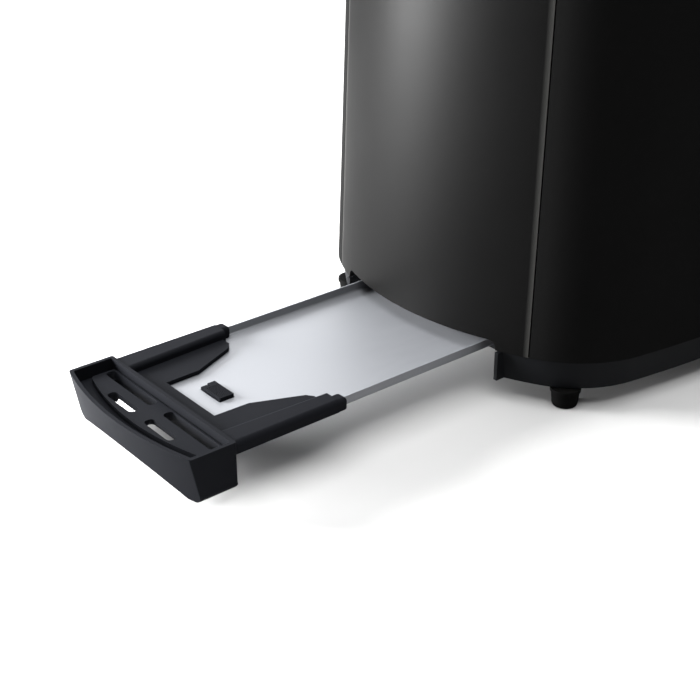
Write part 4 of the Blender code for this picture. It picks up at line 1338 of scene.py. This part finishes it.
guide = {"pitch": 0.0142, "sides": 10}
for slot in ("left", "right"):
    for face in ("inner", "outer"):
        node = f"bread_guide_{slot}_{face}"
        low, high = cadBoxOf(node)
        radius = (high.y - low.y) / 2
        y = (low.y + high.y) / 2
        bm = bmesh.new()
        count = round((high.x - low.x - 2 * radius) / guide["pitch"])
        wires = [((low.x, y, z), (high.x, y, z)) for z in (low.z + radius, high.z - radius)]
        for i in range(count + 1):
            x = low.x + radius + (high.x - low.x - 2 * radius) * i / count
            wires.append(((x, y, low.z + radius), (x, y, high.z - radius)))
        for start, stop in wires:
            piece = rod(radius, start, stop, guide["sides"])
            mesh = bpy.data.meshes.new("wire")
            piece.to_mesh(mesh)
            piece.free()
            bm.from_mesh(mesh)
            bpy.data.meshes.remove(mesh)
        grid = newPiece("breadGuide" + slot.title() + face.title(), bm, collarSteel)
        smooth(grid, 50)
        dress(grid, node, "zinc_plated_steel", node)

gland = {"bore": 0.0032, "flangeBack": 0.0050, "flangeFront": 0.0046, "chamfer": 0.0008, "lip": 0.0005}
length = glandHigh.x - glandLow.x
profile = [
    (gland["bore"], 0),
    (glandRadius * 0.92, 0),
    (glandRadius * 0.92, length - gland["flangeBack"]),
    (glandRadius, length - gland["flangeFront"]),
    (glandRadius, length - gland["chamfer"]),
    (glandRadius - gland["chamfer"], length),
    (gland["bore"] + gland["lip"], length),
    (gland["bore"], length - gland["lip"]),
    (gland["bore"], 0),
]
bm = layOnX(turned(profile, 40), Vector((glandLow.x, glandCentre.y, glandCentre.z)))
piece = newPiece("cordGland", bm, footRubber)
smooth(piece, 40)
dress(piece, "housing", "rubber", "cord_gland")

# the other CAD nodes keep their shapes
finishes = {
    "black_plastic": bakelite,
    "zinc_plated_steel": zincSteel,
    "board_laminate": boardLaminate,
    "mica": mica,
    "rubber": footRubber,
}
for subpart in frame["record"]["subparts"]:
    node = cadNodes[subpart["node"]]
    if not node.hide_render:
        node.data.materials.clear()
        node.data.materials.append(finishes[subpart["material_slot"]])

# ---- camera, floor and light

print("camera and light")

view = {"azimuth": -39.29, "elevation": 27.63, "lens": 72.5, "place": (-0.4918, -0.3949, 0.2827)}
camera = addObject("camera", bpy.data.cameras.new("camera"))
camera.data.lens = view["lens"]
camera.data.sensor_width = 36
camera.data.clip_start = 0.01
camera.data.clip_end = 50
azimuth, elevation = math.radians(view["azimuth"]), math.radians(view["elevation"])
back = Vector(
    (math.sin(azimuth) * math.cos(elevation), -math.cos(azimuth) * math.cos(elevation), math.sin(elevation))
)
camera.location = Vector(view["place"]) + Vector((centreX, 0, 0))
camera.rotation_euler = (-back).to_track_quat("-Z", "Y").to_euler()
bpy.context.scene.camera = camera
bpy.context.scene.view_settings.view_transform = "Standard"

bm = bmesh.new()
bmesh.ops.create_grid(bm, x_segments=1, y_segments=1, size=4)
paleFloor = newMaterial("matteWhiteFloor", {"Base Color": hexColour("#a8a8a8"), "Roughness": 0.9})[0]
floor = newPiece("floor", bm, paleFloor)

room = bpy.data.worlds.new("room")
room.use_nodes = True
room.node_tree.nodes["Background"].inputs["Color"].default_value = hexColour("#ffffff")
room.node_tree.nodes["Background"].inputs["Strength"].default_value = 0.25
bpy.context.scene.world = room

lights = {
    "overhead": {"at": (-0.1, 0.0, 1.6), "to": (0, 0, 0.05), "size": (1.8, 1.8), "watts": 72},
    "backGlow": {"at": (0.88, 1.08, 0.85), "to": (-0.2, 0, 0.02), "size": (1.4, 1.0), "watts": 18},
    "endWash": {"at": (-0.62, 0.50, 0.17), "to": (-0.14, 0, 0.1), "size": (0.26, 0.34), "watts": 50},
}
for name, lamp in lights.items():
    data = bpy.data.lights.new(name, "AREA")
    data.shape = "RECTANGLE"
    data.size, data.size_y = lamp["size"]
    data.energy = lamp["watts"]
    light = addObject(name, data)
    light.visible_camera = False
    light.location = Vector(lamp["at"]) + Vector((centreX, 0, 0))
    aim = Vector(lamp["to"]) - Vector(lamp["at"])
    light.rotation_euler = aim.to_track_quat("-Z", "Y").to_euler()

print("done")
